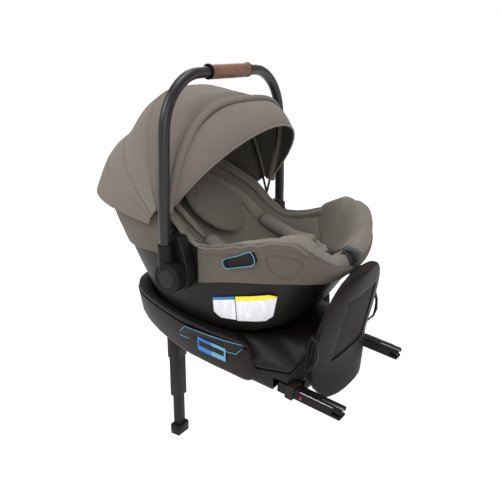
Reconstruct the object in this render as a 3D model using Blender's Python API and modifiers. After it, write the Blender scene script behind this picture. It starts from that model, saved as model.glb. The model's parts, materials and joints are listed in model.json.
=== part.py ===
"""Rear-facing infant carrier seat on its anchor base with a support leg, modelled as an assembly.

Two frames hold the parts. The floor frame has X = 0 at the carry handle's tubes and Z = 0 under
the support leg's foot. The base frame lies in the base's underside, pitched so that the anchor
arms point a little down. +X points to the child's feet and to the anchor arms.
"""

import math

import bmesh
import bpy
from mathutils import Vector

# Driving dimensions, in metres.
GAP = 0.0004  # clearance between pieces that touch
BASE_PITCH = math.radians(8.0)
BASE_ORIGIN = (0.060, 0.3324)  # the base frame's X and Z in the floor frame

# Carry handle
HANDLE_HALF_SPAN = 0.2089
HANDLE_TUBE_R = 0.0115
HANDLE_SHOULDER = 0.2010  # the half span where the corners start
HANDLE_TOP_Z = 0.8940
HANDLE_CORNER_Y = 0.108
HANDLE_CORNER_Z = 0.110
HUB_X, HUB_Z = 0.012, 0.522
HUB_R = 0.030
HUB_IN, HUB_OUT = 0.1965, 0.2220
COLLAR_Z = 0.584
GRIP_HALF = 0.064

# Canopy, as arches that all start on the pivot line
CANOPY_X, CANOPY_Z = -0.020, 0.600
BOW_TILT = math.radians(13.9)
MID_TILT = math.radians(-15.7)
BOW = (BOW_TILT, 0.246, 0.186, 3.4)  # tilt, height, half width, squareness
MID_BOW = (MID_TILT, 0.270, 0.193, 3.0)
WIRE_R = 0.0030
CLOTH_T = 0.0020

# Support leg
LEG_X = -0.158
LEG_PIVOT_Z = 0.344
LEG_HOUSING_Z = 0.2145
LEG_MID_Z = 0.108
FOOT_H = 0.028

# Anchor arms, in the base frame
ARM_Y, ARM_W, ARM_H = 0.140, 0.025, 0.021
ARM_LOW = 0.0045
ARM_IN, ARM_OUT = 0.1570, 0.292

# Base, in the base frame
BASE_HEAD, BASE_FOOT, BASE_MID = -0.275, 0.196, -0.040
PANEL_LEAN = 0.08
BASE_T = 0.0035

# Height of the carrier's top edge against X, and how far its foot end dips in the middle
RIM_LINE = (
    (-0.250, 0.722), (-0.225, 0.717), (-0.180, 0.702), (-0.110, 0.674), (-0.050, 0.643),
    (-0.027, 0.628), (0.004, 0.598), (0.035, 0.579), (0.060, 0.575), (0.100, 0.582),
    (0.150, 0.599), (0.202, 0.612), (0.235, 0.612), (0.262, 0.606), (0.290, 0.592),
)
FOOT_DIP = 0.050

# Carrier shell levels from the bottom to the rim: head X, foot X, half width, and the share of
# the height reached there at the head, at the sides and at the foot
SHELL_LEVELS = (
    (-0.098, 0.165, 0.098, 0.00, 0.00, 0.00),
    (-0.140, 0.195, 0.142, 0.06, 0.03, 0.14),
    (-0.182, 0.220, 0.156, 0.17, 0.17, 0.33),
    (-0.230, 0.247, 0.162, 0.38, 0.44, 0.60),
    (-0.276, 0.272, 0.164, 0.56, 0.70, 0.82),
    (-0.304, 0.291, 0.166, 0.73, 0.86, 0.93),
    (-0.288, 0.296, 0.166, 0.89, 0.94, 0.97),
    (-0.250, 0.286, 0.161, 1.00, 1.00, 1.00),
)
SHELL_FLOOR_Z = 0.398
SHELL_CENTRE = 0.030
SHELL_T = 0.004

SEGMENTS = 32

scene = bpy.context.scene
for stale in list(bpy.data.objects):
    bpy.data.objects.remove(stale, do_unlink=True)
parts = bpy.data.collections.new("infant_car_seat")
cutters = bpy.data.collections.new("cutters")
scene.collection.children.link(parts)
scene.collection.children.link(cutters)


def material(name, colour, roughness, metallic=0.0):
    made = bpy.data.materials.new(name)
    made.use_nodes = True
    shader = made.node_tree.nodes["Principled BSDF"]
    shader.inputs["Base Color"].default_value = (*colour, 1.0)
    shader.inputs["Roughness"].default_value = roughness
    shader.inputs["Metallic"].default_value = metallic
    return made


SHELL_PLASTIC = material("shell_plastic", (0.022, 0.019, 0.018), 0.45)
SATIN_BLACK = material("satin_black", (0.020, 0.018, 0.019), 0.35)
CANOPY_CLOTH = material("canopy_cloth", (0.24, 0.21, 0.19), 0.85)
SIDE_CLOTH = material("side_cloth", (0.17, 0.145, 0.12), 0.9)
INSERT_CLOTH = material("insert_cloth", (0.115, 0.105, 0.090), 0.9)
FOAM = material("foam", (0.10, 0.09, 0.08), 0.95)
LEATHER = material("leather", (0.20, 0.085, 0.05), 0.5)
WEBBING = material("webbing", (0.02, 0.02, 0.02), 0.8)
STEEL = material("steel", (0.55, 0.55, 0.56), 0.3, 1.0)
RED = material("red", (0.55, 0.02, 0.02), 0.4)
BLUE = material("blue", (0.01, 0.13, 0.45), 0.4)
GREY = material("grey", (0.16, 0.15, 0.15), 0.5)
WHITE = material("white", (0.85, 0.84, 0.84), 0.4)
YELLOW = material("yellow", (0.75, 0.68, 0.02), 0.4)
RUBBER = material("rubber", (0.015, 0.015, 0.015), 0.8)


def empty(name, location, parent=None, rotation=(0.0, 0.0, 0.0)):
    made = bpy.data.objects.new(name, None)
    made.location = location
    made.rotation_euler = rotation
    made.parent = parent
    parts.objects.link(made)
    return made


floor_frame = empty("floor_frame", (-BASE_ORIGIN[0], 0.0, -BASE_ORIGIN[1]))
base_frame = empty("base_frame", (0.0, 0.0, 0.0), None, (0.0, BASE_PITCH, 0.0))


def place(obj, name, parent, mat, collection=parts):
    """Names an object, gives it its parent and material, and moves it to its collection."""
    obj.name = name
    obj.parent = parent
    for other in list(obj.users_collection):
        other.objects.unlink(obj)
    collection.objects.link(obj)
    if mat:
        obj.data.materials.clear()
        obj.data.materials.append(mat)
    if collection is cutters:
        obj.hide_render = True
        obj.display_type = "WIRE"
    return obj


def smooth(obj, angle=35.0):
    obj.data.shade_smooth()
    obj.data.set_sharp_from_angle(angle=math.radians(angle))
    return obj


def box(name, low, high, parent, mat, bevel=0.0, segments=1, collection=parts):
    centre = [(a + b) / 2 for a, b in zip(low, high)]
    bpy.ops.mesh.primitive_cube_add(size=1.0, location=centre)
    made = bpy.context.object
    made.scale = [abs(b - a) for a, b in zip(low, high)]
    bpy.ops.object.transform_apply(location=False, rotation=False, scale=True)
    if bevel:
        add_bevel(made, bevel, segments)
    return place(made, name, parent, mat, collection)


def cylinder(name, radius, start, end, parent, mat, sides=24, collection=parts):
    """A cylinder from one point to another."""
    start, end = Vector(start), Vector(end)
    run = end - start
    bpy.ops.mesh.primitive_cylinder_add(vertices=sides, radius=radius, depth=run.length)
    made = bpy.context.object
    made.rotation_euler = run.to_track_quat("Z", "Y").to_euler()
    made.location = (start + end) / 2
    place(made, name, parent, mat, collection)
    return smooth(made)


def add_bevel(obj, width, segments=1, angle=30.0):
    bevel = obj.modifiers.new("bevel", "BEVEL")
    bevel.width = width
    bevel.segments = segments
    bevel.limit_method = "ANGLE"
    bevel.angle_limit = math.radians(angle)
    return bevel


def add_solidify(obj, thickness, offset=-1.0):
    shell = obj.modifiers.new("solidify", "SOLIDIFY")
    shell.thickness = thickness
    shell.offset = offset
    shell.use_even_offset = True
    return shell


def face_towards(obj, direction):
    """Turns an open surface's faces so that they look, on the whole, in a direction."""
    facing = sum(face.normal.dot(direction) * face.area for face in obj.data.polygons)
    if facing < 0:
        obj.data.flip_normals()


def cut(obj, cutter, operation="DIFFERENCE"):
    boolean = obj.modifiers.new(cutter.name, "BOOLEAN")
    boolean.operation = operation
    boolean.object = cutter
    return boolean


def mesh_object(name, points, faces, parent, mat, collection=parts):
    mesh = bpy.data.meshes.new(name)
    mesh.from_pydata([tuple(p) for p in points], [], faces)
    made = bpy.data.objects.new(name, mesh)
    parts.objects.link(made)
    work = bmesh.new()
    work.from_mesh(mesh)
    bmesh.ops.remove_doubles(work, verts=work.verts, dist=1e-6)
    bmesh.ops.recalc_face_normals(work, faces=work.faces)
    work.to_mesh(mesh)
    work.free()
    return place(made, name, parent, mat, collection)


def grid(name, rows, parent, mat, closed=False, collection=parts):
    """A sheet of quads through rows of points; closed joins each row's end to its start."""
    width = len(rows[0])
    faces = []
    for r in range(len(rows) - 1):
        for c in range(width if closed else width - 1):
            d = (c + 1) % width
            faces.append((r * width + c, r * width + d, (r + 1) * width + d, (r + 1) * width + c))
    return mesh_object(name, [p for row in rows for p in row], faces, parent, mat, collection)


def loft(name, rings, parent, mat, cap_first=True, cap_last=True, collection=parts):
    """A skin through rings whose points mirror across Y = 0; its caps are ladders of quads."""
    count = len(rings[0])
    points = [p for ring in rings for p in ring]
    faces = []
    for r in range(len(rings) - 1):
        for c in range(count):
            d = (c + 1) % count
            faces.append((r * count + c, r * count + d, (r + 1) * count + d, (r + 1) * count + c))
    for wanted, first in ((cap_first, 0), (cap_last, (len(rings) - 1) * count)):
        if not wanted:
            continue
        for c in range(count // 2):
            faces.append([first + k % count for k in (c, c + 1, count - c - 1, count - c)])
    faces = [tuple(dict.fromkeys(face)) for face in faces]
    return mesh_object(name, points, faces, parent, mat, collection)


def prism(name, outline, y_from, y_to, parent, mat, collection=parts):
    """An outline in X and Z, extruded along Y."""
    count = len(outline)
    points = [(x, y, z) for y in (y_from, y_to) for x, z in outline]
    faces = [tuple(range(count)), tuple(range(count, 2 * count))]
    for c in range(count):
        d = (c + 1) % count
        faces.append((c, d, count + d, count + c))
    return mesh_object(name, points, faces, parent, mat, collection)


def tube(name, points, radius, parent, mat, resolution=2):
    """A round wire or tube through points, as a mesh with welded caps."""
    curve = bpy.data.curves.new(name, "CURVE")
    curve.dimensions = "3D"
    curve.bevel_depth = radius
    curve.bevel_resolution = resolution
    curve.use_fill_caps = True
    line = curve.splines.new("POLY")
    line.points.add(len(points) - 1)
    for spot, point in zip(line.points, points):
        spot.co = (*point, 1.0)
    guide = bpy.data.objects.new(name + "_curve", curve)
    parts.objects.link(guide)
    graph = bpy.context.evaluated_depsgraph_get()
    graph.update()
    mesh = bpy.data.meshes.new_from_object(guide.evaluated_get(graph))
    work = bmesh.new()
    work.from_mesh(mesh)
    bmesh.ops.remove_doubles(work, verts=work.verts, dist=1e-6)
    bmesh.ops.recalc_face_normals(work, faces=work.faces)
    work.to_mesh(mesh)
    work.free()
    made = bpy.data.objects.new(name, mesh)
    parts.objects.link(made)
    bpy.data.objects.remove(guide, do_unlink=True)
    place(made, name, parent, mat)
    return smooth(made)


def between(value, table):
    """Straight-line reading of a table of (input, output) pairs."""
    if value <= table[0][0]:
        return table[0][1]
    for (a, low), (b, high) in zip(table, table[1:]):
        if value <= b:
            return low + (high - low) * (value - a) / (b - a)
    return table[-1][1]


def pitched(u, y, w):
    """A point of the base frame, in the floor frame."""
    c, s = math.cos(BASE_PITCH), math.sin(BASE_PITCH)
    return (BASE_ORIGIN[0] + u * c + w * s, y, BASE_ORIGIN[1] - u * s + w * c)


# ---------------------------------------------------------------- carrier surfaces

def plan_point(angle, head, foot, half, centre, n_head=2.35, n_foot=4.0):
    """A point of a plan outline; angle 0 is at the feet and 180 degrees at the head."""
    c, s = math.cos(angle), math.sin(angle)
    n = n_foot if c > 0 else n_head
    reach = foot - centre if c > 0 else centre - head
    scale = (abs(c) ** n + abs(s) ** n) ** (-1 / n)
    return centre + reach * c * scale, half * s * scale


def rim_height(x, y):
    height = between(x, RIM_LINE)
    along = min(1.0, max(0.0, (x - 0.190) / 0.080))
    middle = max(0.0, 1.0 - (abs(y) / 0.125) ** 2.5)
    return height - FOOT_DIP * along * along * (3 - 2 * along) * middle


def shell_point(angle, level, grow=0.0):
    """A point of the carrier's outer surface at a fractional level, moved outwards by grow."""
    low = min(int(level), len(SHELL_LEVELS) - 2)
    t = level - low
    row = [a + (b - a) * t for a, b in zip(SHELL_LEVELS[low], SHELL_LEVELS[low + 1])]
    head, foot, half, at_head, at_side, at_foot = row
    x, y = plan_point(angle, head - grow, foot + grow, half + grow, SHELL_CENTRE)
    rim = SHELL_LEVELS[-1]
    rim_x, rim_y = plan_point(angle, rim[0], rim[1], rim[2], SHELL_CENTRE)
    c = math.cos(angle)
    share = at_side + ((at_foot if c > 0 else at_head) - at_side) * c * c
    top = rim_height(rim_x, rim_y)
    widest = 5.0 + max(0.0, c) ** 2
    lift = grow * max(-0.9 * c * c, min(1.0, level - widest))
    return (x, y, SHELL_FLOOR_Z + (top - SHELL_FLOOR_Z) * share + lift)


def level_at(angle, z):
    """The level at which the outer surface reaches a height."""
    low, high = 0.0, len(SHELL_LEVELS) - 1.0
    for _ in range(24):
        middle = (low + high) / 2
        if shell_point(angle, middle)[2] < z:
            low = middle
        else:
            high = middle
    return (low + high) / 2


def around(count=SEGMENTS, start=0.0, end=2 * math.pi, closed=True):
    steps = count if closed else count - 1
    return [start + (end - start) * k / steps for k in range(count)]


def carrier_shell():
    angles = around()
    rows = [[shell_point(a, level) for a in angles] for level in range(len(SHELL_LEVELS))]
    made = loft("carrier_shell", rows, floor_frame, SHELL_PLASTIC, True, False)
    add_solidify(made, SHELL_T)
    return smooth(made)


def slab(name, lower, upper, parent, mat, closed=False):
    """A closed piece between two matching grids of points, such as a pad or a cloth skin."""
    rows, width = len(lower), len(lower[0])
    points = [p for side in (lower, upper) for row in side for p in row]
    faces = []
    for side in range(2):
        start = side * rows * width
        for r in range(rows - 1):
            for c in range(width if closed else width - 1):
                d = (c + 1) % width
                a, b = start + r * width, start + (r + 1) * width
                faces.append((a + c, a + d, b + d, b + c))
    top = rows * width
    for r in (0, rows - 1):
        for c in range(width if closed else width - 1):
            d = (c + 1) % width
            a = r * width
            faces.append((a + c, a + d, top + a + d, top + a + c))
    if not closed:
        for c in (0, width - 1):
            for r in range(rows - 1):
                a, b = r * width + c, (r + 1) * width + c
                faces.append((a, b, top + b, top + a))
    return smooth(mesh_object(name, points, faces, parent, mat))


def cover(name, start, end, bottom, mat, grow=0.0014, thickness=0.0026):
    """A fabric skin over part of the shell's outside, from a lower edge up to the rim."""
    step = 2 * math.pi / SEGMENTS
    inner = [k * step for k in range(-SEGMENTS, SEGMENTS) if start < k * step < end]
    angles = [start, *inner, end]
    lows = [level_at(a, bottom(a)) for a in angles]
    rows = [[shell_point(a, low, grow + thickness) for a, low in zip(angles, lows)]]
    for level in (4, 5, 6, 7):
        rows.append([shell_point(a, max(low + 0.1, level), grow + thickness) for a, low in zip(angles, lows)])
    made = grid(name, rows, floor_frame, mat)
    face_towards(made, Vector((math.cos((start + end) / 2), 0, 0)))
    add_solidify(made, thickness)
    return smooth(made)


def foot_cover_bottom(angle):
    x, y, z = shell_point(angle, 4)
    side = between(x, ((0.04, 0.503), (0.11, 0.520), (0.16, 0.528), (0.24, 0.534), (0.30, 0.520)))
    return side - 0.006 * (1 - min(1.0, abs(y) / 0.12))


def head_cover_bottom(angle):
    x, y, z = shell_point(angle, 4)
    return between(x, ((-0.31, 0.530), (-0.20, 0.537), (0.0, 0.548)))


# ---------------------------------------------------------------- inside the carrier

# The seat's centre line: height against X, from the head end to the feet
SEAT_LINE = (
    (-0.215, 0.692), (-0.175, 0.662), (-0.045, 0.562), (0.030, 0.500), (0.080, 0.466),
    (0.125, 0.452), (0.165, 0.458), (0.205, 0.486), (0.235, 0.530),
)
LINER_IN = 0.0098  # how far the foam liner stays inside the shell's outer surface
SEAT_HEAD, SEAT_FOOT, SEAT_HALF = -0.222, 0.252, 0.140


def seat_height(x, y):
    """Height of the foam's seating surface."""
    middle = between(x, SEAT_LINE)
    top = rim_height(x, y) - 0.012
    side = min(1.0, abs(y) / SEAT_HALF) ** 3
    end = 0.0
    if x > 0.205:
        end = min(1.0, (x - 0.205) / 0.045)
    if x < -0.190:
        end = min(1.0, (-0.190 - x) / 0.045)
    return middle + (top - middle) * max(side, end * end * 0.8)


def seat_point(angle, share, lift=0.0):
    """A point over the seating surface; share 1 is its edge and 0 its middle."""
    x, y = plan_point(angle, SEAT_HEAD, SEAT_FOOT, SEAT_HALF, SHELL_CENTRE)
    x, y = SHELL_CENTRE + (x - SHELL_CENTRE) * share, y * share
    return (x, y, seat_height(x, y) + lift)


def foam_liner():
    """Foam block that fills the shell up to the seating surface."""
    angles = around()
    rings = []
    for level in (0.25, 1, 2, 3, 4, 5, 6, 7):
        ring = []
        for angle in angles:
            x, y, z = shell_point(angle, level, -LINER_IN)
            rise = 0.007 * max(0.0, 1.0 - (z - SHELL_FLOOR_Z) / 0.2)
            ring.append((x, y, z + rise))
        rings.append(ring)
    for share in (1.0, 0.92, 0.84, 0.7, 0.5, 0.25):
        rings.append([seat_point(angle, share) for angle in angles])
    made = loft("foam_liner", rings, floor_frame, FOAM, True, True)
    return smooth(made)


INSERT_LIFT = 0.004


def insert_thickness(x, y):
    """The insert is thin under the head and thick along the sides and at the feet."""
    side = min(1.0, abs(y) / 0.110) ** 2
    return between(x, ((-0.16, 0.010), (-0.05, 0.012), (0.05, 0.018), (0.20, 0.020))) + 0.006 * side


def insert_top(x, y):
    return seat_height(x, y) + INSERT_LIFT + insert_thickness(x, y)


def body_insert():
    """Padded insert that lines the seat."""
    angles = around()
    rings = [[seat_point(a, share, INSERT_LIFT) for a in angles] for share in (0.25, 0.5, 0.7, 0.84)]
    for share in (0.86, 0.80, 0.66, 0.48, 0.25):
        ring = []
        for angle in angles:
            x, y, z = seat_point(angle, share)
            ring.append((x, y, insert_top(x, y) - (0.008 if share == 0.86 else 0.0)))
        rings.append(ring)
    return smooth(loft("body_insert", rings, floor_frame, INSERT_CLOTH, True, True))


def pad(name, spots, low, thickness, parent, mat):
    """A pad over a grid of plan spots, thinner at its edges."""
    rows, width = len(spots), len(spots[0])
    lower, upper = [], []
    for r, row in enumerate(spots):
        under, over = [], []
        for c, (x, y) in enumerate(row):
            z = low(x, y)
            edge = min(r, rows - 1 - r, c, width - 1 - c)
            under.append((x, y, z))
            over.append((x, y, z + thickness * (0.45 if edge == 0 else 1.0)))
        lower.append(under)
        upper.append(over)
    return slab(name, lower, upper, parent, mat)


PILLOW_X, PILLOW_Z = -0.036, 0.618
PILLOW_LENGTH, PILLOW_WIDTH, PILLOW_T = 0.086, 0.078, 0.0165
RECLINE = math.radians(39.0)


def head_pillow():
    bpy.ops.mesh.primitive_uv_sphere_add(segments=18, ring_count=9, radius=1.0)
    made = bpy.context.object
    made.scale = (PILLOW_LENGTH, PILLOW_WIDTH, PILLOW_T)
    bpy.ops.object.transform_apply(location=False, rotation=False, scale=True)
    made.rotation_euler = (0.0, RECLINE, 0.0)
    made.location = (PILLOW_X, 0.0, PILLOW_Z)
    place(made, "head_pillow", floor_frame, INSERT_CLOTH)
    return smooth(made)


def head_wings():
    """Side bolsters along the head part of the insert."""
    for side, name in ((-1, "head_wing_left"), (1, "head_wing_right")):
        spots = []
        for k in range(9):
            angle = math.radians(92 + 62 * k / 8)
            row = []
            for share in (0.66, 0.72, 0.79, 0.85):
                x, y, z = seat_point(angle, share)
                row.append((x, side * y))
            spots.append(row)
        pad(name, spots, lambda x, y: insert_top(x, y) + 0.004, 0.012, floor_frame, INSERT_CLOTH)


def foot_pad():
    """Padded roll over the carrier's edge at the feet."""
    rings = []
    for k in range(19):
        angle = math.radians(-56 + 112 * k / 18)
        x, y, z = shell_point(angle, 7)
        inner_x, inner_y, _ = shell_point(angle, 7, -0.020)
        out = Vector((x - inner_x, y - inner_y, 0)).normalized()
        centre = Vector((x, y, z + 0.0154)) - out * 0.0035
        ends = min(1.0, 0.45 + min(k, 18 - k) / 3)
        ring = []
        for step in range(10):
            turn = 2 * math.pi * step / 10
            ring.append(centre + out * (0.019 * ends * math.cos(turn)) + Vector((0, 0, 0.0098 * ends * math.sin(turn))))
        rings.append(ring)
    count = len(rings[0])
    faces = [tuple(range(count)), tuple((len(rings) - 1) * count + k for k in range(count))]
    for r in range(len(rings) - 1):
        for c in range(count):
            d = (c + 1) % count
            faces.append((r * count + c, r * count + d, (r + 1) * count + d, (r + 1) * count + c))
    return smooth(mesh_object("foot_pad", [p for ring in rings for p in ring], faces, floor_frame, SIDE_CLOTH))


# ---------------------------------------------------------------- harness

BUCKLE_X = 0.122
STRAP_T = 0.0016


def ribbon(name, line, width, thickness, parent, mat):
    """A strap through points, lying across Y, with its normal in the X-Z plane."""
    lower, upper = [], []
    for k, point in enumerate(line):
        before, after = Vector(line[max(0, k - 1)]), Vector(line[min(len(line) - 1, k + 1)])
        along = (after - before).normalized()
        normal = Vector((-along.z, 0.0, along.x)).normalized()
        if normal.z < 0 and abs(normal.z) > abs(normal.x):
            normal.negate()
        across = along.cross(normal).normalized() * (width / 2)
        low, high = Vector(point), Vector(point) + normal * thickness
        lower.append([low - across, low + across])
        upper.append([high - across, high + across])
    return slab(name, lower, upper, parent, mat)


def harness():
    for side, name in ((-1, "shoulder_strap_left"), (1, "shoulder_strap_right")):
        line = []
        for k in range(6):
            t = k / 5
            x, y = 0.040 + 0.060 * t, side * (0.040 - 0.019 * t)
            line.append((x, y, insert_top(x, 0.055) + 0.002))
        ribbon(name, line, 0.032, STRAP_T, floor_frame, WEBBING)
    x = 0.066
    clip = box("chest_clip", (-0.012, -0.030, -0.003), (0.012, 0.030, 0.003), None, SHELL_PLASTIC, 0.002, 1)
    clip.location = (x, 0.0, insert_top(x, 0.055) + 0.0115)
    clip.rotation_euler = (0.0, math.radians(33), 0.0)
    clip.parent = floor_frame
    buckle = empty("buckle_frame", (BUCKLE_X, 0.0, insert_top(BUCKLE_X, 0.03) + 0.014), floor_frame)
    housing = box("buckle", (-0.017, -0.020, -0.008), (0.030, 0.020, 0.008), buckle, SHELL_PLASTIC, 0.004, 2)
    pocket = box("buckle_pocket", (-0.010, -0.0125, 0.0005), (0.0105, 0.0125, 0.02), buckle, None, 0, 1, cutters)
    cut(housing, pocket)
    box("buckle_button", (-0.0095, -0.012, 0.0035), (0.010, 0.012, 0.0105), buckle, RED, 0.0015, 1)
    line = []
    for k in range(4):
        x = BUCKLE_X + 0.032 + 0.024 * k / 3
        line.append((x, 0.0, insert_top(x, 0.0) + 0.006))
    ribbon("crotch_strap", line, 0.028, STRAP_T, floor_frame, WEBBING)
    rim_x, _, rim_z = shell_point(0.0, 7)
    line = []
    for turn in (150, 125, 100, 75, 50, 25):
        over = math.radians(turn)
        line.append((rim_x - 0.0035 + 0.0225 * math.cos(over), 0.0, rim_z + 0.0154 + 0.0125 * math.sin(over)))
    line.append((rim_x + 0.0178, 0.0, rim_z + 0.0110))
    down = ((6.6, 0.0056), (6.0, 0.0056), (5.5, 0.0064), (5.0, 0.0078), (4.6, 0.0090))
    line += [shell_point(0.0, level, lift) for level, lift in down]
    ribbon("adjuster_strap", line, 0.025, 0.0020, floor_frame, WEBBING)
    base = max(seat_height(0.227, 0.0), seat_height(0.249, 0.0)) + 0.0008
    box("adjuster_lever", (0.2270, -0.016, base), (0.2490, 0.016, base + 0.006), floor_frame, SATIN_BLACK, 0.002, 1)


# ---------------------------------------------------------------- handle

def handle_line():
    """Centre line of the handle's tube, from one socket over the top to the other."""
    line = [(0.0, -HANDLE_HALF_SPAN, z) for z in (0.5565, 0.60, 0.65)]
    line.append((0.0, -(HANDLE_HALF_SPAN + HANDLE_SHOULDER) / 2, 0.717))
    straight = HANDLE_SHOULDER - HANDLE_CORNER_Y
    for k in range(9):
        turn = math.pi / 2 * k / 8
        y = -straight - HANDLE_CORNER_Y * math.cos(turn)
        line.append((0.0, y, HANDLE_TOP_Z - HANDLE_CORNER_Z + HANDLE_CORNER_Z * math.sin(turn)))
    return line + [(x, -y, z) for x, y, z in reversed(line)]


def handle():
    pivot = empty("handle_pivot", (HUB_X, 0.0, HUB_Z), floor_frame)
    shift = Vector((HUB_X, 0.0, HUB_Z))
    tube("handle_tube", [Vector(p) - shift for p in handle_line()], HANDLE_TUBE_R, pivot, SATIN_BLACK, 3)
    sleeve_r = HANDLE_TUBE_R + GAP
    profile = ((sleeve_r, 1.0), (sleeve_r + 0.0030, 1.0), (sleeve_r + 0.0012, 0.93), (sleeve_r + 0.0014, 0.5))
    half = [(r, share * GRIP_HALF) for r, share in profile]
    rings = half[1:] + [(r, -y) for r, y in reversed(half[1:])] + [(sleeve_r, -GRIP_HALF), (sleeve_r, GRIP_HALF)]
    points, faces, sides = [], [], 20
    for r, y in rings:
        for k in range(sides):
            turn = 2 * math.pi * k / sides
            points.append((r * math.cos(turn), y, r * math.sin(turn)))
    for r in range(len(rings)):
        s = (r + 1) % len(rings)
        for c in range(sides):
            d = (c + 1) % sides
            faces.append((r * sides + c, r * sides + d, s * sides + d, s * sides + c))
    grip = mesh_object("handle_grip", points, faces, pivot, LEATHER)
    grip.location = Vector((0.0, 0.0, HANDLE_TOP_Z)) - shift
    smooth(grip)
    for side, word in ((-1, "left"), (1, "right")):
        hub(side, word, pivot, shift)
        hub_bracket(side, word)


def hub(side, word, pivot, shift):
    """Round end of the handle with its tube socket, turning on the bracket's stub."""
    def at(x, y, z):
        return Vector((x, side * y, z)) - shift
    disc = cylinder(f"handle_hub_{word}", HUB_R, at(HUB_X, HUB_IN, HUB_Z), at(HUB_X, HUB_OUT, HUB_Z), pivot, SATIN_BLACK, 30)
    arm = cylinder(f"hub_arm_{word}", 0.0145, at(0, HANDLE_HALF_SPAN, HUB_Z + 0.012),
                   at(0, HANDLE_HALF_SPAN, COLLAR_Z), pivot, None, 20, cutters)
    cut(disc, arm, "UNION")
    bore = cylinder(f"hub_bore_{word}", HANDLE_TUBE_R + GAP, at(0, HANDLE_HALF_SPAN, 0.5560),
                    at(0, HANDLE_HALF_SPAN, COLLAR_Z + 0.01), pivot, None, 16, cutters)
    cut(disc, bore)
    axle = cylinder(f"hub_axle_{word}", 0.0094, at(HUB_X, HUB_IN - 0.005, HUB_Z), at(HUB_X, 0.2060, HUB_Z), pivot, None, 20, cutters)
    cut(disc, axle)
    pocket = cylinder(f"hub_pocket_{word}", 0.0190, at(HUB_X, 0.2110, HUB_Z), at(HUB_X, 0.2300, HUB_Z), pivot, None, 28, cutters)
    cut(disc, pocket)
    button = cylinder(f"hub_button_{word}", 0.0186, at(HUB_X, 0.2155, HUB_Z), at(HUB_X, 0.2238, HUB_Z), pivot, GREY, 28)
    add_bevel(button, 0.0012)


BRACKET_OUTLINE = (
    (-0.020, 0.500), (-0.020, 0.548), (-0.010, 0.566), (0.000, 0.598), (0.020, 0.598),
    (0.030, 0.572), (0.036, 0.545), (0.0405, 0.520), (0.038, 0.503), (0.028, 0.492), (0.0, 0.492),
)


def hub_bracket(side, word):
    bracket = prism(f"hub_bracket_{word}", BRACKET_OUTLINE, side * 0.1674, side * (HUB_OUT - 0.0290), floor_frame, SHELL_PLASTIC)
    add_bevel(bracket, 0.002)
    stub = cylinder(f"bracket_stub_{word}", 0.0090, (HUB_X, side * 0.180, HUB_Z), (HUB_X, side * 0.2050, HUB_Z),
                    floor_frame, None, 20, cutters)
    cut(bracket, stub, "UNION")


# ---------------------------------------------------------------- canopy

def arch_point(arch, t, inwards=0.0):
    """A point of an arch that starts on the pivot line; t runs from 0 to 1 across it."""
    tilt, height, half, n = arch
    c, s = math.cos(math.pi * t), math.sin(math.pi * t)
    scale = (abs(c) ** n + abs(s) ** n) ** (-1 / n)
    up = (height - inwards) * s * scale
    y = -(half - inwards) * c * scale
    return (CANOPY_X + up * math.sin(tilt), y, CANOPY_Z + up * math.cos(tilt))


# Arches of the fixed rear cloth, from the middle bow back to its seam on the shell
REAR_ARCHES = [
    (math.radians(tilt), height, half, n) for tilt, height, half, n in (
        (-16.8, 0.269, 0.193, 3.0), (-25, 0.266, 0.191, 2.8), (-38, 0.258, 0.187, 2.5), (-48, 0.258, 0.184, 2.4),
        (-58, 0.276, 0.180, 2.35), (-66, 0.287, 0.178, 2.35), (-75, 0.294, 0.176, 2.45), (-83, 0.303, 0.176, 2.5),
    )
]
FRONT_ARCHES = [
    (math.radians(12.9), 0.246, 0.186, 3.4), (math.radians(5), 0.247, 0.187, 3.3),
    (math.radians(-4), 0.2535, 0.189, 3.2), (math.radians(-10), 0.262, 0.191, 3.1),
    (math.radians(-14.7), 0.269, 0.193, 3.0),
]
CLOTH_START = 0.050


def fan_cloth(name, arches):
    """Cloth over a fan of arches, as a thin closed skin."""
    steps = 20
    spans = [CLOTH_START + (1 - 2 * CLOTH_START) * k / steps for k in range(steps + 1)]
    outer = [[arch_point(arch, t) for t in spans] for arch in arches]
    inner = [[arch_point(arch, t, CLOTH_T) for t in spans] for arch in arches]
    return slab(name, inner, outer, floor_frame, CANOPY_CLOTH)


def visor():
    """Crescent of cloth in front of the front bow."""
    steps = 20
    first = 0.075
    rows_out, rows_in = [], []
    for r in range(4):
        share = r / 3
        over, under = [], []
        for k in range(steps + 1):
            t = k / steps
            back = Vector(arch_point((BOW_TILT + math.radians(1.0), *BOW[1:]), first + (1 - 2 * first) * t))
            turn = math.pi * (0.030 + 0.94 * t)
            rise = 0.201 * math.sin(turn)
            front = Vector((-0.010 + rise * math.sin(math.radians(40)), -0.180 * math.cos(turn),
                            0.641 + rise * math.cos(math.radians(40))))
            point = back.lerp(front, share)
            bulge = 0.010 * math.sin(math.pi * share) * math.sin(math.pi * t)
            outward = (point - Vector((CANOPY_X, 0.0, CANOPY_Z))).normalized()
            over.append(point + outward * bulge)
            under.append(point + outward * (bulge - CLOTH_T))
        rows_out.append(over)
        rows_in.append(under)
    return slab("canopy_visor", rows_in, rows_out, floor_frame, CANOPY_CLOTH)


def bow(name, arch):
    steps = 22
    inwards = CLOTH_T + GAP + WIRE_R + 0.0008
    line = [arch_point(arch, k / steps, inwards) for k in range(steps + 1)]
    return tube(name, line, WIRE_R, floor_frame, SATIN_BLACK, 2)


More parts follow.
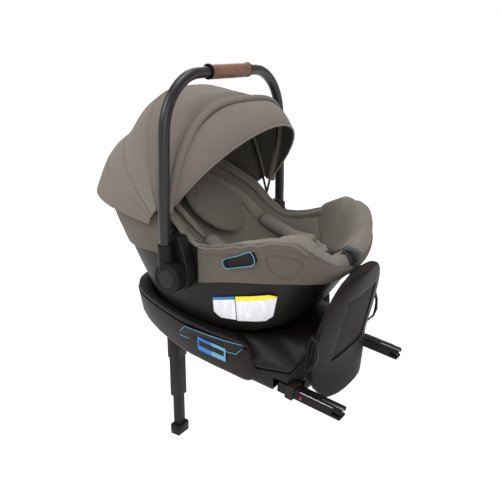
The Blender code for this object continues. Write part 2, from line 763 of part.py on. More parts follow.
def canopy():
    fan_cloth("canopy_rear_cloth", REAR_ARCHES)
    fan_cloth("canopy_front_cloth", FRONT_ARCHES)
    visor()
    bow("canopy_front_bow", BOW)
    bow("canopy_middle_bow", MID_BOW)
    for side, word in ((-1, "left"), (1, "right")):
        mount = cylinder(f"canopy_mount_{word}", 0.0110, (CANOPY_X, side * 0.1674, CANOPY_Z),
                         (CANOPY_X, side * 0.1758, CANOPY_Z), floor_frame, SHELL_PLASTIC, 20)
        add_bevel(mount, 0.001)


# ---------------------------------------------------------------- carrier's outside

WINDOW_OUTLINE = ((0.110, 0.566), (0.165, 0.590), (0.172, 0.588), (0.178, 0.576), (0.172, 0.566), (0.116, 0.549), (0.108, 0.556))


def scaled(outline, by):
    """An outline grown or shrunk about its middle by a distance at its ends."""
    cx = sum(x for x, z in outline) / len(outline)
    cz = sum(z for x, z in outline) / len(outline)
    grown = []
    for x, z in outline:
        run = Vector((x - cx, z - cz))
        run *= (run.length + by) / run.length
        grown.append((cx + run.x, cz + run.y))
    return grown


def side_details(foot_skin):
    for side, word in ((-1, "left"), (1, "right")):
        hole = prism(f"window_hole_{word}", scaled(WINDOW_OUTLINE, 0.0006), side * 0.150, side * 0.190, floor_frame, None, cutters)
        cut(foot_skin, hole)
        guide = prism(f"belt_guide_{word}", WINDOW_OUTLINE, side * 0.1667, side * 0.1725, floor_frame, SHELL_PLASTIC)
        pocket = prism(f"guide_pocket_{word}", scaled(WINDOW_OUTLINE, -0.0040), side * 0.1690, side * 0.180, floor_frame, None, cutters)
        cut(guide, pocket)
    outlines = (
        ("label_plate_white", ((0.076, 0.480), (0.126, 0.492), (0.126, 0.442), (0.090, 0.439)), WHITE),
        ("label_plate_yellow", ((0.128, 0.4925), (0.205, 0.5085), (0.207, 0.503), (0.191, 0.4475), (0.128, 0.4405)), YELLOW),
    )
    for name, outline, mat in outlines:
        lower, upper = [], []
        # The plates follow the shell's side, column by column.
        xs = [outline[0][0] + (max(x for x, z in outline) - outline[0][0]) * k / 6 for k in range(7)]
        top_edge, low_edge = plate_edges(outline)
        for x in xs:
            low_z, high_z = between(x, low_edge), between(x, top_edge)
            under, over = [], []
            for k in range(4):
                z = low_z + (high_z - low_z) * k / 3
                y = side_surface(x, z)
                under.append((x, -(y + 0.0010), z))
                over.append((x, -(y + 0.0018), z))
            lower.append(under)
            upper.append(over)
        slab(name, lower, upper, floor_frame, mat)


def plate_edges(outline):
    """Splits a plate's outline, listed from its top left round by the right, into its two edges."""
    right = max(range(len(outline)), key=lambda k: outline[k][0])
    top = tuple(outline[: right + 1])
    low = tuple(reversed(outline[right:]))
    if low[0][0] > outline[0][0]:
        low = ((outline[0][0], low[0][1] + 0.010),) + low
    return top, low


def side_surface(x, z):
    """Half width of the shell's outer side at a place along it and a height."""
    low, high = math.radians(30), math.radians(150)
    for _ in range(30):
        middle = (low + high) / 2
        here = shell_point(middle, level_at(middle, z))
        if here[0] > x:
            low = middle
        else:
            high = middle
    return shell_point(low, level_at(low, z))[1]


def release_lever():
    """Squeeze lever on the back that frees the carrier from its base."""
    low, high = shell_point(math.pi, 2.5), shell_point(math.pi, 3.3)
    start = Vector((low[0], low[2]))
    along = (Vector((high[0], high[2])) - start).normalized()
    out = Vector((-along.y, along.x))
    out = out if out.x < 0 else -out
    outline = [start + along * a + out * b for a, b in ((0.0, 0.004), (0.036, 0.004), (0.034, 0.012), (0.004, 0.014))]
    made = prism("carrier_release_lever", outline, -0.040, 0.040, floor_frame, SATIN_BLACK)
    add_bevel(made, 0.002)


# ---------------------------------------------------------------- base

# Half of the base's outline, from the middle of its foot end round to the middle of its head
# end: U and Y at its lower edge, then U, Y and W at its rim
BASE_PLAN = (
    (0.1968, 0.0000, 0.1968, 0.0000, 0.118), (0.1963, 0.0600, 0.1963, 0.0600, 0.116),
    (0.1945, 0.1190, 0.1945, 0.1190, 0.098), (0.1820, 0.1245, 0.1830, 0.1280, 0.074),
    (0.1775, 0.1500, 0.1790, 0.1520, 0.062), (0.1500, 0.1520, 0.1500, 0.1540, 0.056),
    (0.1030, 0.1530, 0.1070, 0.1550, 0.044), (0.0980, 0.1610, 0.1010, 0.1640, 0.064),
    (0.0900, 0.1640, 0.0930, 0.1695, 0.086), (0.0570, 0.1645, 0.0500, 0.1760, 0.083),
    (0.0090, 0.1660, 0.0000, 0.1785, 0.083), (-0.0480, 0.1650, -0.0540, 0.1780, 0.083),
    (-0.0850, 0.1590, -0.0980, 0.1710, 0.083), (-0.1230, 0.1500, -0.1440, 0.1600, 0.082),
    (-0.1530, 0.1410, -0.1800, 0.1480, 0.080), (-0.1960, 0.1230, -0.2180, 0.1300, 0.077),
    (-0.2280, 0.1030, -0.2460, 0.1060, 0.075), (-0.2510, 0.0790, -0.2640, 0.0780, 0.0735),
    (-0.2640, 0.0420, -0.2730, 0.0420, 0.073), (-0.2680, 0.0000, -0.2750, 0.0000, 0.073),
)
CRADLE_RIM = ((0.060, 0.083), (0.110, 0.090), (0.150, 0.101), (0.197, 0.118))
BASE_STEP = 0.010  # height of the narrower underside
BASE_INSET = 0.965
DECK_T = 0.0030
LIP, SEAM = 0.0075, 0.0115  # the deck's edge turns down by LIP, and the wall stops at SEAM
CRADLE_GAP = 0.0045


def mirrored(half):
    """A closed ring from half of it, listed from the foot end's middle to the head end's."""
    return list(half) + [(x, -y, z) for x, y, z in reversed(half[1:-1])]


def base_ring(share, drop=0.0):
    """The base's outer wall at a share of its height; 0 is its lower edge and 1 its rim."""
    half = []
    for low_u, low_y, rim_u, rim_y, rim_w in BASE_PLAN:
        u, y = low_u + (rim_u - low_u) * share, low_y + (rim_y - low_y) * share
        half.append((u, y, BASE_STEP + (rim_w - drop - BASE_STEP) * share))
    return mirrored(half)


def base_wall(u, w):
    """Half width of the base's outer wall."""
    low = tuple((row[0], row[1]) for row in reversed(BASE_PLAN[4:]))
    rim = tuple((row[2], row[3]) for row in reversed(BASE_PLAN[4:]))
    top = between(u, tuple((row[2], row[4]) for row in reversed(BASE_PLAN[4:])))
    share = (w - BASE_STEP) / (top - SEAM - BASE_STEP)
    return between(u, low) + (between(u, rim) - between(u, low)) * share


def base_lower_shell():
    plate = []
    for low_u, low_y, rim_u, rim_y, rim_w in BASE_PLAN:
        shrink = BASE_INSET if low_y > 0.13 or low_u < 0 else 0.999
        plate.append((low_u * shrink, low_y * shrink, 0.0))
    rings = [mirrored(plate), base_ring(0.0), base_ring(0.5, SEAM), base_ring(1.0, SEAM)]
    made = loft("base_lower_shell", rings, base_frame, SHELL_PLASTIC, True, False)
    add_solidify(made, BASE_T)
    for side, word in ((-1, "left"), (1, "right")):
        bay = box(f"arm_bay_{word}", (0.1460, side * 0.1225, -0.010), (0.2200, side * 0.1800, 0.0310), base_frame, None, 0, 1, cutters)
        window = box(f"arm_window_{word}", (0.1460, side * 0.1100, 0.0042), (0.2100, side * 0.1400, 0.0290), base_frame, None, 0, 1, cutters)
        cut(made, bay)
        cut(made, window)
        outline = (
            (-0.172, 0.3670), (-0.144, 0.3630), (-0.1455, 0.3380), (-0.1510, 0.3320), (-0.1650, 0.3320), (-0.1705, 0.3380),
        )
        lug = prism(f"leg_lug_{word}", outline, side * 0.0206, side * 0.0266, floor_frame, None, cutters)
        cut(made, lug, "UNION")
    pin = cylinder("leg_pin_hole", 0.0043, (LEG_X, -0.030, LEG_PIVOT_Z), (LEG_X, 0.030, LEG_PIVOT_Z), floor_frame, None, 16, cutters)
    cut(made, pin)
    cut(made, recline_hole("base"))
    return smooth(made)


def cradle_angle(u, y):
    reach = BASE_FOOT - BASE_MID if u > BASE_MID else BASE_MID - BASE_HEAD
    return math.atan2(y / 0.165, (u - BASE_MID) / reach)


def to_base(point):
    """A floor-frame point, in the base frame."""
    c, s = math.cos(BASE_PITCH), math.sin(BASE_PITCH)
    x, z = point[0] - BASE_ORIGIN[0], point[2] - BASE_ORIGIN[1]
    return (x * c - z * s, point[1], x * s + z * c)


def cradle_point(angle, level):
    return to_base(shell_point(angle, level, CRADLE_GAP))


def cradle_level(angle):
    """The level at which the cradle reaches the deck."""
    low, high = 0.0, 3.5
    for _ in range(24):
        middle = (low + high) / 2
        u, y, w = cradle_point(angle, middle)
        if w < between(u, CRADLE_RIM):
            low = middle
        else:
            high = middle
    return (low + high) / 2


def base_upper_shell():
    """Deck and cradle that the carrier sits in."""
    angles = [cradle_angle(row[2], row[3]) for row in BASE_PLAN]
    rings = []
    for ring in range(3):
        half = []
        for angle in angles:
            top = cradle_level(angle)
            u, y, w = cradle_point(angle, (0.0, min(1.0, 0.85 * top), top)[ring])
            half.append((u, 0.0 if angle in (angles[0], angles[-1]) else y, w - (CRADLE_GAP, 0.003, 0.0)[ring]))
        rings.append(mirrored(half))
    deck = []
    for angle, row in zip(angles, BASE_PLAN):
        u, y, w = cradle_point(angle, cradle_level(angle))
        spot = Vector((u, 0.0 if row[3] == 0 else y, w)).lerp(Vector(row[2:5]), 0.5)
        deck.append((spot.x, spot.y, spot.z + 0.0015))
    rings.append(mirrored(deck))
    rings += [base_ring(1.0), base_ring(1.0, LIP)]
    made = loft("base_cradle", rings, base_frame, SHELL_PLASTIC, True, False)
    face_towards(made, Vector((0, 0, 1)))
    add_solidify(made, DECK_T).use_even_offset = False
    return smooth(made)


# Panel at the anchor end: its half width and the U of its front face, against W
PANEL_EDGE = (
    (-0.011, 0.084), (0.012, 0.106), (0.035, 0.119), (0.060, 0.126), (0.085, 0.129), (0.113, 0.130),
    (0.141, 0.128), (0.168, 0.1235), (0.190, 0.116), (0.207, 0.106), (0.220, 0.092), (0.230, 0.076),
    (0.237, 0.056), (0.2410, 0.033),
)
PANEL_FRONT = ((-0.011, 0.2450), (0.012, 0.2370), (0.035, 0.2300), (0.062, 0.2255), (0.2500, 0.2390))
PANEL_BOW = 0.016
PANEL_T = ((0.10, 0.0300), (0.20, 0.0245))
PANEL_BACK = 0.1972
RECESS_DEPTH = 0.005


def panel_front(y, w):
    return between(w, PANEL_FRONT) - PANEL_BOW * (min(1.2, abs(y) / between(w, PANEL_EDGE))) ** 3


def panel_rows(low_w, high_w, low_half, high_half, depth, rows=5, width=7):
    """A patch at a depth behind the panel's front face."""
    patch = []
    for r in range(rows):
        t = r / (rows - 1)
        w, half = low_w + (high_w - low_w) * t, low_half + (high_half - low_half) * t
        patch.append([(panel_front(y, w) - depth, y, w) for y in [half * (2 * c / (width - 1) - 1) for c in range(width)]])
    return patch


def anti_rebound_panel():
    steps = 10
    front, back = [], []
    for w, half in PANEL_EDGE:
        ys = [half * math.sin(math.pi / 2 * (2 * c / steps - 1)) for c in range(steps + 1)]
        near = between(w, PANEL_FRONT)
        front.append([(panel_front(y, w), y, w) for y in ys])
        back.append([(max(PANEL_BACK, near - between(w, PANEL_T) + 0.002 * (abs(y) / half) ** 2), y * 0.985, w) for y in ys])
    made = slab("anti_rebound_panel", back, front, base_frame, SHELL_PLASTIC)
    recess = slab("panel_recess", panel_rows(0.0626, 0.193, 0.0726, 0.0637, RECESS_DEPTH),
                  panel_rows(0.0626, 0.193, 0.0726, 0.0637, -0.02), base_frame, None)
    place(recess, "panel_recess", base_frame, None, cutters)
    cut(made, recess)
    inner = (0.0632, 0.1924, 0.0720, 0.0631)
    slab("panel_inset", panel_rows(*inner, RECESS_DEPTH - 0.0003), panel_rows(*inner, RECESS_DEPTH - 0.0023), base_frame, GREY)


# ---------------------------------------------------------------- level indicator

LEVEL_LOW, LEVEL_HIGH = (-0.007, 0.383), (0.138, 0.379)
LEVEL_TOP_LOW, LEVEL_TOP_HIGH = (0.018, 0.412), (0.160, 0.4045)
BUTTON_X, BUTTON_Z = 0.036, 0.3880
BUTTON_R = 0.0075


def recline_hole(name):
    return cylinder(f"recline_hole_{name}", BUTTON_R + GAP, (BUTTON_X, -0.150, BUTTON_Z), (BUTTON_X, -0.200, BUTTON_Z),
                    floor_frame, None, 20, cutters)


def wall_patch(corners, lift, columns, rows=3):
    """A patch over the base's near wall; corners are low left, low right, top left, top right."""
    low_a, low_b, top_a, top_b = [Vector(c) for c in corners]
    patch = []
    for c in range(columns + 1):
        t = c / columns
        line = []
        for r in range(rows + 1):
            spot = low_a.lerp(low_b, t).lerp(top_a.lerp(top_b, t), r / rows)
            u, y, w = to_base((spot.x, 0.0, spot.y))
            line.append((spot.x, -(base_wall(u, w) + lift), spot.y))
        patch.append(line)
    return patch


def level_indicator():
    corners = (LEVEL_LOW, LEVEL_HIGH, LEVEL_TOP_LOW, LEVEL_TOP_HIGH)
    bezel = slab("level_bezel", wall_patch(corners, 0.0010, 10), wall_patch(corners, 0.0030, 10), floor_frame, SATIN_BLACK)
    window = box("level_window", (0.060, -0.200, 0.3850), (0.112, -0.150, 0.4000), floor_frame, None, 0, 1, cutters)
    cut(bezel, window)
    cut(bezel, recline_hole("bezel"))
    corners = ((0.0606, 0.3856), (0.1114, 0.3856), (0.0606, 0.3994), (0.1114, 0.3994))
    slab("level_scale", wall_patch(corners, 0.0010, 6), wall_patch(corners, 0.0024, 6), floor_frame, BLUE)
    button = cylinder("recline_button", BUTTON_R, (BUTTON_X, -0.1640, BUTTON_Z), (BUTTON_X, -0.1790, BUTTON_Z), floor_frame, GREY, 20)
    add_bevel(button, 0.001)


# ---------------------------------------------------------------- anchor arms

HOOK_OUTLINE = (
    (0.246, 0.0105), (0.256, 0.0088), (0.268, 0.0110), (0.272, 0.0195), (0.281, 0.0195),
    (0.282, 0.0110), (0.287, 0.0095), (0.290, 0.0150), (0.290, 0.0240), (0.246, 0.0240),
)


def anchor_arms():
    top = ARM_LOW + ARM_H
    for side, word in ((-1, "left"), (1, "right")):
        frame = empty(f"arm_frame_{word}", (0.0, side * ARM_Y, 0.0), base_frame)
        arm = box(f"anchor_arm_{word}", (ARM_IN, -ARM_W / 2, ARM_LOW), (ARM_OUT, ARM_W / 2, top), frame, SATIN_BLACK, 0.002, 1)
        rail = box(f"arm_rail_{word}", (0.0850, -side * 0.0400, 0.0075), (0.1720, -side * 0.0180, 0.0230), frame, None, 0, 1, cutters)
        bridge = box(f"arm_bridge_{word}", (0.1600, -side * 0.0205, 0.0085), (0.1760, -side * 0.0100, 0.0220), frame, None, 0, 1, cutters)
        cut(arm, bridge, "UNION")
        cut(arm, rail, "UNION")
        throat = box(f"arm_throat_{word}", (0.274, -0.02, 0.0105), (0.300, 0.02, 0.0185), frame, None, 0, 1, cutters)
        slot = box(f"arm_slot_{word}", (0.2440, -0.0040, 0.0078), (0.300, 0.0040, 0.030), frame, None, 0, 1, cutters)
        cut(arm, throat)
        cut(arm, slot)
        prism(f"anchor_hook_{word}", HOOK_OUTLINE, -0.0036, 0.0036, frame, STEEL)
        sleeve = box(f"anchor_release_{word}", (0.1768, -0.0162, 0.0015), (0.1940, 0.0162, 0.0285), frame, SATIN_BLACK, 0.0015, 1)
        hole = box(f"sleeve_hole_{word}", (0.170, -0.0129, 0.0041), (0.210, 0.0129, 0.0259), frame, None, 0, 1, cutters)
        cut(sleeve, hole)
        grooves = [
            box(f"sleeve_groove_{word}_{k}", (0.1791 + 0.0045 * k, side * 0.0152, 0.004), (0.1811 + 0.0045 * k, side * 0.020, 0.026),
                frame, None, 0, 1, cutters)
            for k in range(3)
        ]
        for groove in grooves:
            cut(sleeve, groove)


LOCK_OUTLINE = (
    (0.1995, 0.070), (0.2060, 0.061), (0.2190, 0.080), (0.2230, 0.100), (0.2190, 0.122), (0.2120, 0.137), (0.2020, 0.141),
    (0.1990, 0.126),
)


def lock_off_levers():
    """Levers beside the panel's foot that hold a vehicle belt."""
    for side, word in ((-1, "left"), (1, "right")):
        lever = prism(f"lock_off_lever_{word}", LOCK_OUTLINE, side * 0.1336, side * 0.1410, base_frame, SATIN_BLACK)
        hole = prism(f"lock_off_hole_{word}", scaled(LOCK_OUTLINE, -0.0065), side * 0.1250, side * 0.1500, base_frame, None, cutters)
        add_bevel(lever, 0.0012)
        cut(lever, hole)


# ---------------------------------------------------------------- support leg

def support_leg():
    frame = empty("leg_frame", (LEG_X, 0.0, LEG_PIVOT_Z), floor_frame)
    down = LEG_PIVOT_Z

    def bar(name, half_x, half_y, low, high, mat, bevel=0.003, segments=2, collection=parts):
        return box(name, (-half_x, -half_y, low - down), (half_x, half_y, high - down), frame, mat, bevel, segments, collection)

    housing = bar("leg_housing", 0.0150, 0.0200, LEG_HOUSING_Z, 0.3520, SATIN_BLACK)
    cut(housing, bar("leg_housing_cavity", 0.0130, 0.0180, 0.200, 0.325, None, 0, 1, cutters))
    pin_hole = cylinder("housing_pin_hole", 0.0043, (0, -0.030, 0), (0, 0.030, 0), frame, None, 16, cutters)
    cut(housing, pin_hole)
    button_hole = cylinder("leg_button_hole", 0.0070, (-0.020, 0, 0.240 - down), (-0.012, 0, 0.240 - down), frame, None, 20, cutters)
    cut(housing, button_hole)
    cylinder("leg_button", 0.0066, (-0.0195, 0, 0.240 - down), (-0.0148, 0, 0.240 - down), frame, GREY, 20)
    middle = bar("leg_middle_tube", 0.0126, 0.0176, LEG_MID_Z, 0.280, GREY)
    cut(middle, bar("leg_middle_cavity", 0.0095, 0.0140, 0.100, 0.270, None, 0, 1, cutters))
    latch = cylinder("leg_latch_hole", 0.0075, (-0.020, 0, 0.240 - down), (-0.008, 0, 0.240 - down), frame, None, 20, cutters)
    cut(middle, latch)
    lower = bar("leg_lower_tube", 0.0090, 0.0135, FOOT_H - 0.006, 0.190, GREY)
    foot = bar("leg_foot", 0.0140, 0.0210, 0.0035, FOOT_H, SATIN_BLACK)
    cut(foot, bar("leg_foot_socket", 0.0094, 0.0139, FOOT_H - 0.0064, 0.050, None, 0, 1, cutters))
    bar("leg_foot_sole", 0.0130, 0.0200, 0.0, 0.0032, RUBBER, 0.001, 1)
    cylinder("leg_hinge_pin", 0.0040, (0, -0.0285, 0), (0, 0.0285, 0), frame, STEEL, 16)
    return lower


# ---------------------------------------------------------------- the whole

carrier_shell()
foot_skin = cover("foot_cover", math.radians(-86.4), math.radians(86.4), foot_cover_bottom, SIDE_CLOTH)
cover("head_cover", math.radians(102), math.radians(258), head_cover_bottom, SIDE_CLOTH)
foam_liner()
body_insert()
head_pillow()
head_wings()
foot_pad()
harness()
handle()
canopy()
side_details(foot_skin)
release_lever()
base_lower_shell()
base_upper_shell()
anti_rebound_panel()
level_indicator()
anchor_arms()
lock_off_levers()
support_leg()
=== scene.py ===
"""Looks of the infant car seat: cloth, padding, webbing, trims, materials, light and camera."""

import json
import math

import bmesh
import bpy
from mathutils import Matrix, Vector, noise
from mathutils.bvhtree import BVHTree

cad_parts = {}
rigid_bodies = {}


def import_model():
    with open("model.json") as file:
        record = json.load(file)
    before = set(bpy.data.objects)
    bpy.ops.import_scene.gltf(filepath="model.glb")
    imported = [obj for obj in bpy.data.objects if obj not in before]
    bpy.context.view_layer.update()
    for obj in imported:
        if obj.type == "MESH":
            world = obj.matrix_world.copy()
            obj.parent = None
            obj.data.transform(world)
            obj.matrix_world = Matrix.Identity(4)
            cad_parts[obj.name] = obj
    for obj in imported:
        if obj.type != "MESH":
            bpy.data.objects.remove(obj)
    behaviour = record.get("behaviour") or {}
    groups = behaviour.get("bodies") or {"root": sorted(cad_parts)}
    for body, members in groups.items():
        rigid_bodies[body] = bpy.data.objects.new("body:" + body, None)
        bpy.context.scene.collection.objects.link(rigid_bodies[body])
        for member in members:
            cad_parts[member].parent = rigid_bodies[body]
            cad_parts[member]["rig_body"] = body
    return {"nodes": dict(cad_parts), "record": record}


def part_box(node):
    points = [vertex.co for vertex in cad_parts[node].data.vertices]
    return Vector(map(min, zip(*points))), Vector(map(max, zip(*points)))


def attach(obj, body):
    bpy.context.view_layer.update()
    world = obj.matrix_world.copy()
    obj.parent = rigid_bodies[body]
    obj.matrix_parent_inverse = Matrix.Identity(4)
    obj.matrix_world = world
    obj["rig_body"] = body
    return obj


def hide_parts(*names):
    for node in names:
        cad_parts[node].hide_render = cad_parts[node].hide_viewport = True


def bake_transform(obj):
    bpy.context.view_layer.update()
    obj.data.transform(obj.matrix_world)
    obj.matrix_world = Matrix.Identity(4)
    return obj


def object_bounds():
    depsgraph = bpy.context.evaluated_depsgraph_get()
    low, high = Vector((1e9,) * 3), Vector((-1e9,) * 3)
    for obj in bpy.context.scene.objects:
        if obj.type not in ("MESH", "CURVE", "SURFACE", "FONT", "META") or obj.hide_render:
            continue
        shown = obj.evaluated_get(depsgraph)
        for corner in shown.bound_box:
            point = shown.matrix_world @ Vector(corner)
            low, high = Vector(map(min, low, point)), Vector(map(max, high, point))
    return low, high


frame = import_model()
cad_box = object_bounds()
nodes = frame["nodes"]
scene = bpy.context.scene
node_body = {name: obj["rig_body"] for name, obj in nodes.items()}


# ---------------------------------------------------------------- materials

class Paint:
    """A node material around one Principled shader, with its coordinates in the object's frame."""

    def __init__(self, name, colour, roughness, metallic=0.0):
        self.made = bpy.data.materials.new(name)
        self.made.use_nodes = True
        self.tree = self.made.node_tree
        self.shader = self.tree.nodes["Principled BSDF"]
        self.shader.inputs["Base Color"].default_value = (*colour, 1.0)
        self.shader.inputs["Roughness"].default_value = roughness
        self.shader.inputs["Metallic"].default_value = metallic
        self.place = self.tree.nodes.new("ShaderNodeTexCoord").outputs["Object"]

    def link(self, start, end):
        self.tree.links.new(start, end)

    def stretched(self, scale):
        node = self.tree.nodes.new("ShaderNodeMapping")
        node.inputs["Scale"].default_value = scale
        self.link(self.place, node.inputs["Vector"])
        return node.outputs["Vector"]

    def noise(self, scale, detail=3.0, stretch=(1, 1, 1)):
        node = self.tree.nodes.new("ShaderNodeTexNoise")
        node.inputs["Scale"].default_value = scale
        node.inputs["Detail"].default_value = detail
        self.link(self.stretched(stretch), node.inputs["Vector"])
        return node.outputs["Fac"]

    def wave(self, pitch, direction):
        """Bands a pitch apart, in metres."""
        node = self.tree.nodes.new("ShaderNodeTexWave")
        node.bands_direction = direction
        node.inputs["Scale"].default_value = math.pi / 10 / pitch
        node.inputs["Distortion"].default_value = 0.6
        self.link(self.place, node.inputs["Vector"])
        return node.outputs["Fac"]

    def maths(self, operation, first, second):
        node = self.tree.nodes.new("ShaderNodeMath")
        node.operation = operation
        for slot, value in zip(node.inputs, (first, second)):
            if isinstance(value, (int, float)):
                slot.default_value = value
            else:
                self.link(value, slot)
        return node.outputs[0]

    def ramp(self, value, low, high, start=0.35, end=0.65):
        node = self.tree.nodes.new("ShaderNodeValToRGB")
        first, last = node.color_ramp.elements
        first.position, last.position = start, end
        first.color, last.color = (*low, 1.0), (*high, 1.0)
        self.link(value, node.inputs["Fac"])
        return node.outputs["Color"]

    def blend(self, kind, amount, first, second):
        node = self.tree.nodes.new("ShaderNodeMix")
        node.data_type, node.blend_type = "RGBA", kind
        node.inputs["Factor"].default_value = amount
        self.link(first, node.inputs["A"])
        self.link(second, node.inputs["B"])
        return node.outputs["Result"]

    def colour(self, value):
        self.link(value, self.shader.inputs["Base Color"])

    def rough(self, value, low, high):
        node = self.tree.nodes.new("ShaderNodeMapRange")
        node.inputs["To Min"].default_value = low
        node.inputs["To Max"].default_value = high
        self.link(value, node.inputs["Value"])
        self.link(node.outputs["Result"], self.shader.inputs["Roughness"])

    def bump(self, height, strength, distance):
        node = self.tree.nodes.new("ShaderNodeBump")
        node.inputs["Strength"].default_value = strength
        node.inputs["Distance"].default_value = distance
        self.link(height, node.inputs["Height"])
        self.link(node.outputs["Normal"], self.shader.inputs["Normal"])


def scaled_colour(colour, by):
    return tuple(min(1.0, c * by) for c in colour)


def cloth_paint(name, colour, pitch, heather, rough=0.9, sheen=0.25):
    """Woven cloth: threads both ways, a heathered yarn colour and a slow change over the piece."""
    paint = Paint(name, colour, rough)
    across = paint.wave(pitch, "DIAGONAL")
    along = paint.wave(pitch, "Z")
    weave = paint.maths("MAXIMUM", across, along)
    yarn = paint.noise(420, 2.0, (1, 1, 5))
    slow = paint.noise(7, 3.0)
    heathered = paint.ramp(yarn, scaled_colour(colour, 1 - heather), scaled_colour(colour, 1 + heather))
    shaded = paint.ramp(slow, (0.90, 0.90, 0.90), (1.06, 1.06, 1.06), 0.3, 0.7)
    mixed = paint.blend("MULTIPLY", 1.0, heathered, shaded)
    threads = paint.ramp(weave, (0.80, 0.80, 0.80), (1.05, 1.05, 1.05), 0.1, 0.9)
    paint.colour(paint.blend("MULTIPLY", 0.5, mixed, threads))
    paint.rough(slow, rough - 0.06, rough + 0.05)
    fuzz = paint.noise(1500, 2.0)
    paint.bump(paint.maths("ADD", weave, paint.maths("MULTIPLY", fuzz, 0.6)), 0.35, 0.0006)
    paint.shader.inputs["Sheen Weight"].default_value = sheen
    paint.shader.inputs["Sheen Roughness"].default_value = 0.45
    return paint.made


def plastic_paint(name, colour, rough, grain=0.10, gloss=0.36):
    """Moulded plastic: spark-eroded grain, with a slightly uneven polish."""
    paint = Paint(name, colour, rough)
    cloudy = paint.noise(14, 4.0)
    paint.colour(paint.ramp(cloudy, scaled_colour(colour, 0.86), scaled_colour(colour, 1.16), 0.3, 0.7))
    paint.rough(cloudy, rough - 0.05, rough + 0.07)
    paint.bump(paint.noise(2200, 2.0), grain, 0.0003)
    paint.shader.inputs["Specular IOR Level"].default_value = gloss
    return paint.made


def metal_paint(name, colour, rough, stretch):
    paint = Paint(name, colour, rough, 1.0)
    brushed = paint.noise(240, 3.0, stretch)
    paint.colour(paint.ramp(brushed, scaled_colour(colour, 0.82), scaled_colour(colour, 1.1)))
    paint.rough(brushed, rough - 0.06, rough + 0.12)
    paint.bump(brushed, 0.08, 0.0002)
    return paint.made


def leather_paint(name, colour):
    """Pebbled leatherette, darker in its grain and rubbed paler in random patches."""
    paint = Paint(name, colour, 0.5)
    cells = paint.tree.nodes.new("ShaderNodeTexVoronoi")
    cells.feature = "DISTANCE_TO_EDGE"
    cells.inputs["Scale"].default_value = 620
    paint.link(paint.place, cells.inputs["Vector"])
    pebbles = cells.outputs["Distance"]
    patchy = paint.noise(34, 4.0)
    tone = paint.ramp(patchy, scaled_colour(colour, 0.78), scaled_colour(colour, 1.22), 0.3, 0.7)
    lines = paint.ramp(pebbles, (0.55, 0.5, 0.5), (1, 1, 1), 0.0, 0.09)
    paint.colour(paint.blend("MULTIPLY", 0.8, tone, lines))
    paint.rough(patchy, 0.42, 0.60)
    paint.bump(paint.maths("MINIMUM", pebbles, 0.12), 0.5, 0.002)
    return paint.made


def webbing_paint(name, colour):
    """Herringbone webbing with bright threads."""
    paint = Paint(name, colour, 0.75)
    chevrons = paint.wave(0.0022, "DIAGONAL")
    ribs = paint.wave(0.0014, "X")
    cloth = paint.maths("MULTIPLY", chevrons, ribs)
    paint.colour(paint.ramp(cloth, scaled_colour(colour, 0.5), scaled_colour(colour, 1.6), 0.1, 0.8))
    paint.rough(chevrons, 0.62, 0.82)
    paint.bump(cloth, 0.5, 0.0008)
    paint.shader.inputs["Sheen Weight"].default_value = 0.15
    return paint.made


SHELL = plastic_paint("shell_plastic_look", (0.0100, 0.0082, 0.0074), 0.48, 0.10, 0.20)
SATIN = plastic_paint("satin_black_look", (0.0095, 0.0078, 0.0072), 0.44, 0.05, 0.15)
DARK_TUBE = plastic_paint("dark_tube_look", (0.0112, 0.0095, 0.0097), 0.32, 0.04, 0.45)
LEG_TUBE = plastic_paint("leg_tube_look", (0.0200, 0.0168, 0.0145), 0.52, 0.06, 0.14)
GREY = plastic_paint("grey_look", (0.018, 0.0158, 0.0145), 0.5, 0.1, 0.2)
PANEL = plastic_paint("panel_look", (0.0120, 0.0090, 0.0078), 0.52, 0.12, 0.12)
INSET = plastic_paint("inset_look", (0.0165, 0.0128, 0.0112), 0.66, 0.5, 0.12)
BASE_GREY = plastic_paint("base_grey_look", (0.0130, 0.0104, 0.0092), 0.50, 0.12, 0.15)
CANOPY = cloth_paint("canopy_cloth_look", (0.162, 0.137, 0.115), 0.0011, 0.05, 0.88, 0.08)
# Darker canopy cloth: painted shade on the canopy's inside and beside the front bow's sleeve, and the dark
# colour of the rear cloth's seams.
CANOPY_SHADE_AND_SEAM = cloth_paint("canopy_shade_and_seam_look", (0.075, 0.066, 0.057), 0.0011, 0.06, 0.92, 0.04)
SIDE = cloth_paint("side_cloth_look", (0.104, 0.088, 0.071), 0.0013, 0.26, 0.92, 0.06)
INSERT = cloth_paint("insert_cloth_look", (0.270, 0.243, 0.208), 0.0012, 0.07, 0.92, 0.10)
PILLOW = cloth_paint("pillow_cloth_look", (0.192, 0.173, 0.146), 0.0012, 0.06, 0.92, 0.10)
LINER = cloth_paint("liner_cloth_look", (0.200, 0.180, 0.154), 0.0012, 0.08, 0.92, 0.08)
THREAD = cloth_paint("thread_look", (0.150, 0.130, 0.112), 0.0006, 0.05, 0.8, 0.1)
PIPING = cloth_paint("piping_look", (0.150, 0.128, 0.112), 0.0009, 0.05, 0.85, 0.3)
LEATHER = leather_paint("leather_look", (0.205, 0.090, 0.056))
WEBBING = webbing_paint("webbing_look", (0.0095, 0.0085, 0.0082))
STEEL = metal_paint("steel_look", (0.55, 0.55, 0.56), 0.32, (1, 30, 1))
SILVER = metal_paint("silver_line_look", (0.62, 0.62, 0.64), 0.30, (30, 1, 1))
RED = plastic_paint("red_look", (0.50, 0.018, 0.020), 0.36, 0.04)
BLUE = plastic_paint("blue_look", (0.010, 0.130, 0.450), 0.34, 0.02)
LIGHT_BLUE = plastic_paint("light_blue_look", (0.105, 0.300, 0.440), 0.36, 0.02)
WHITE = plastic_paint("white_look", (0.80, 0.79, 0.82), 0.42, 0.02)
YELLOW = plastic_paint("yellow_look", (0.78, 0.66, 0.010), 0.40, 0.02)
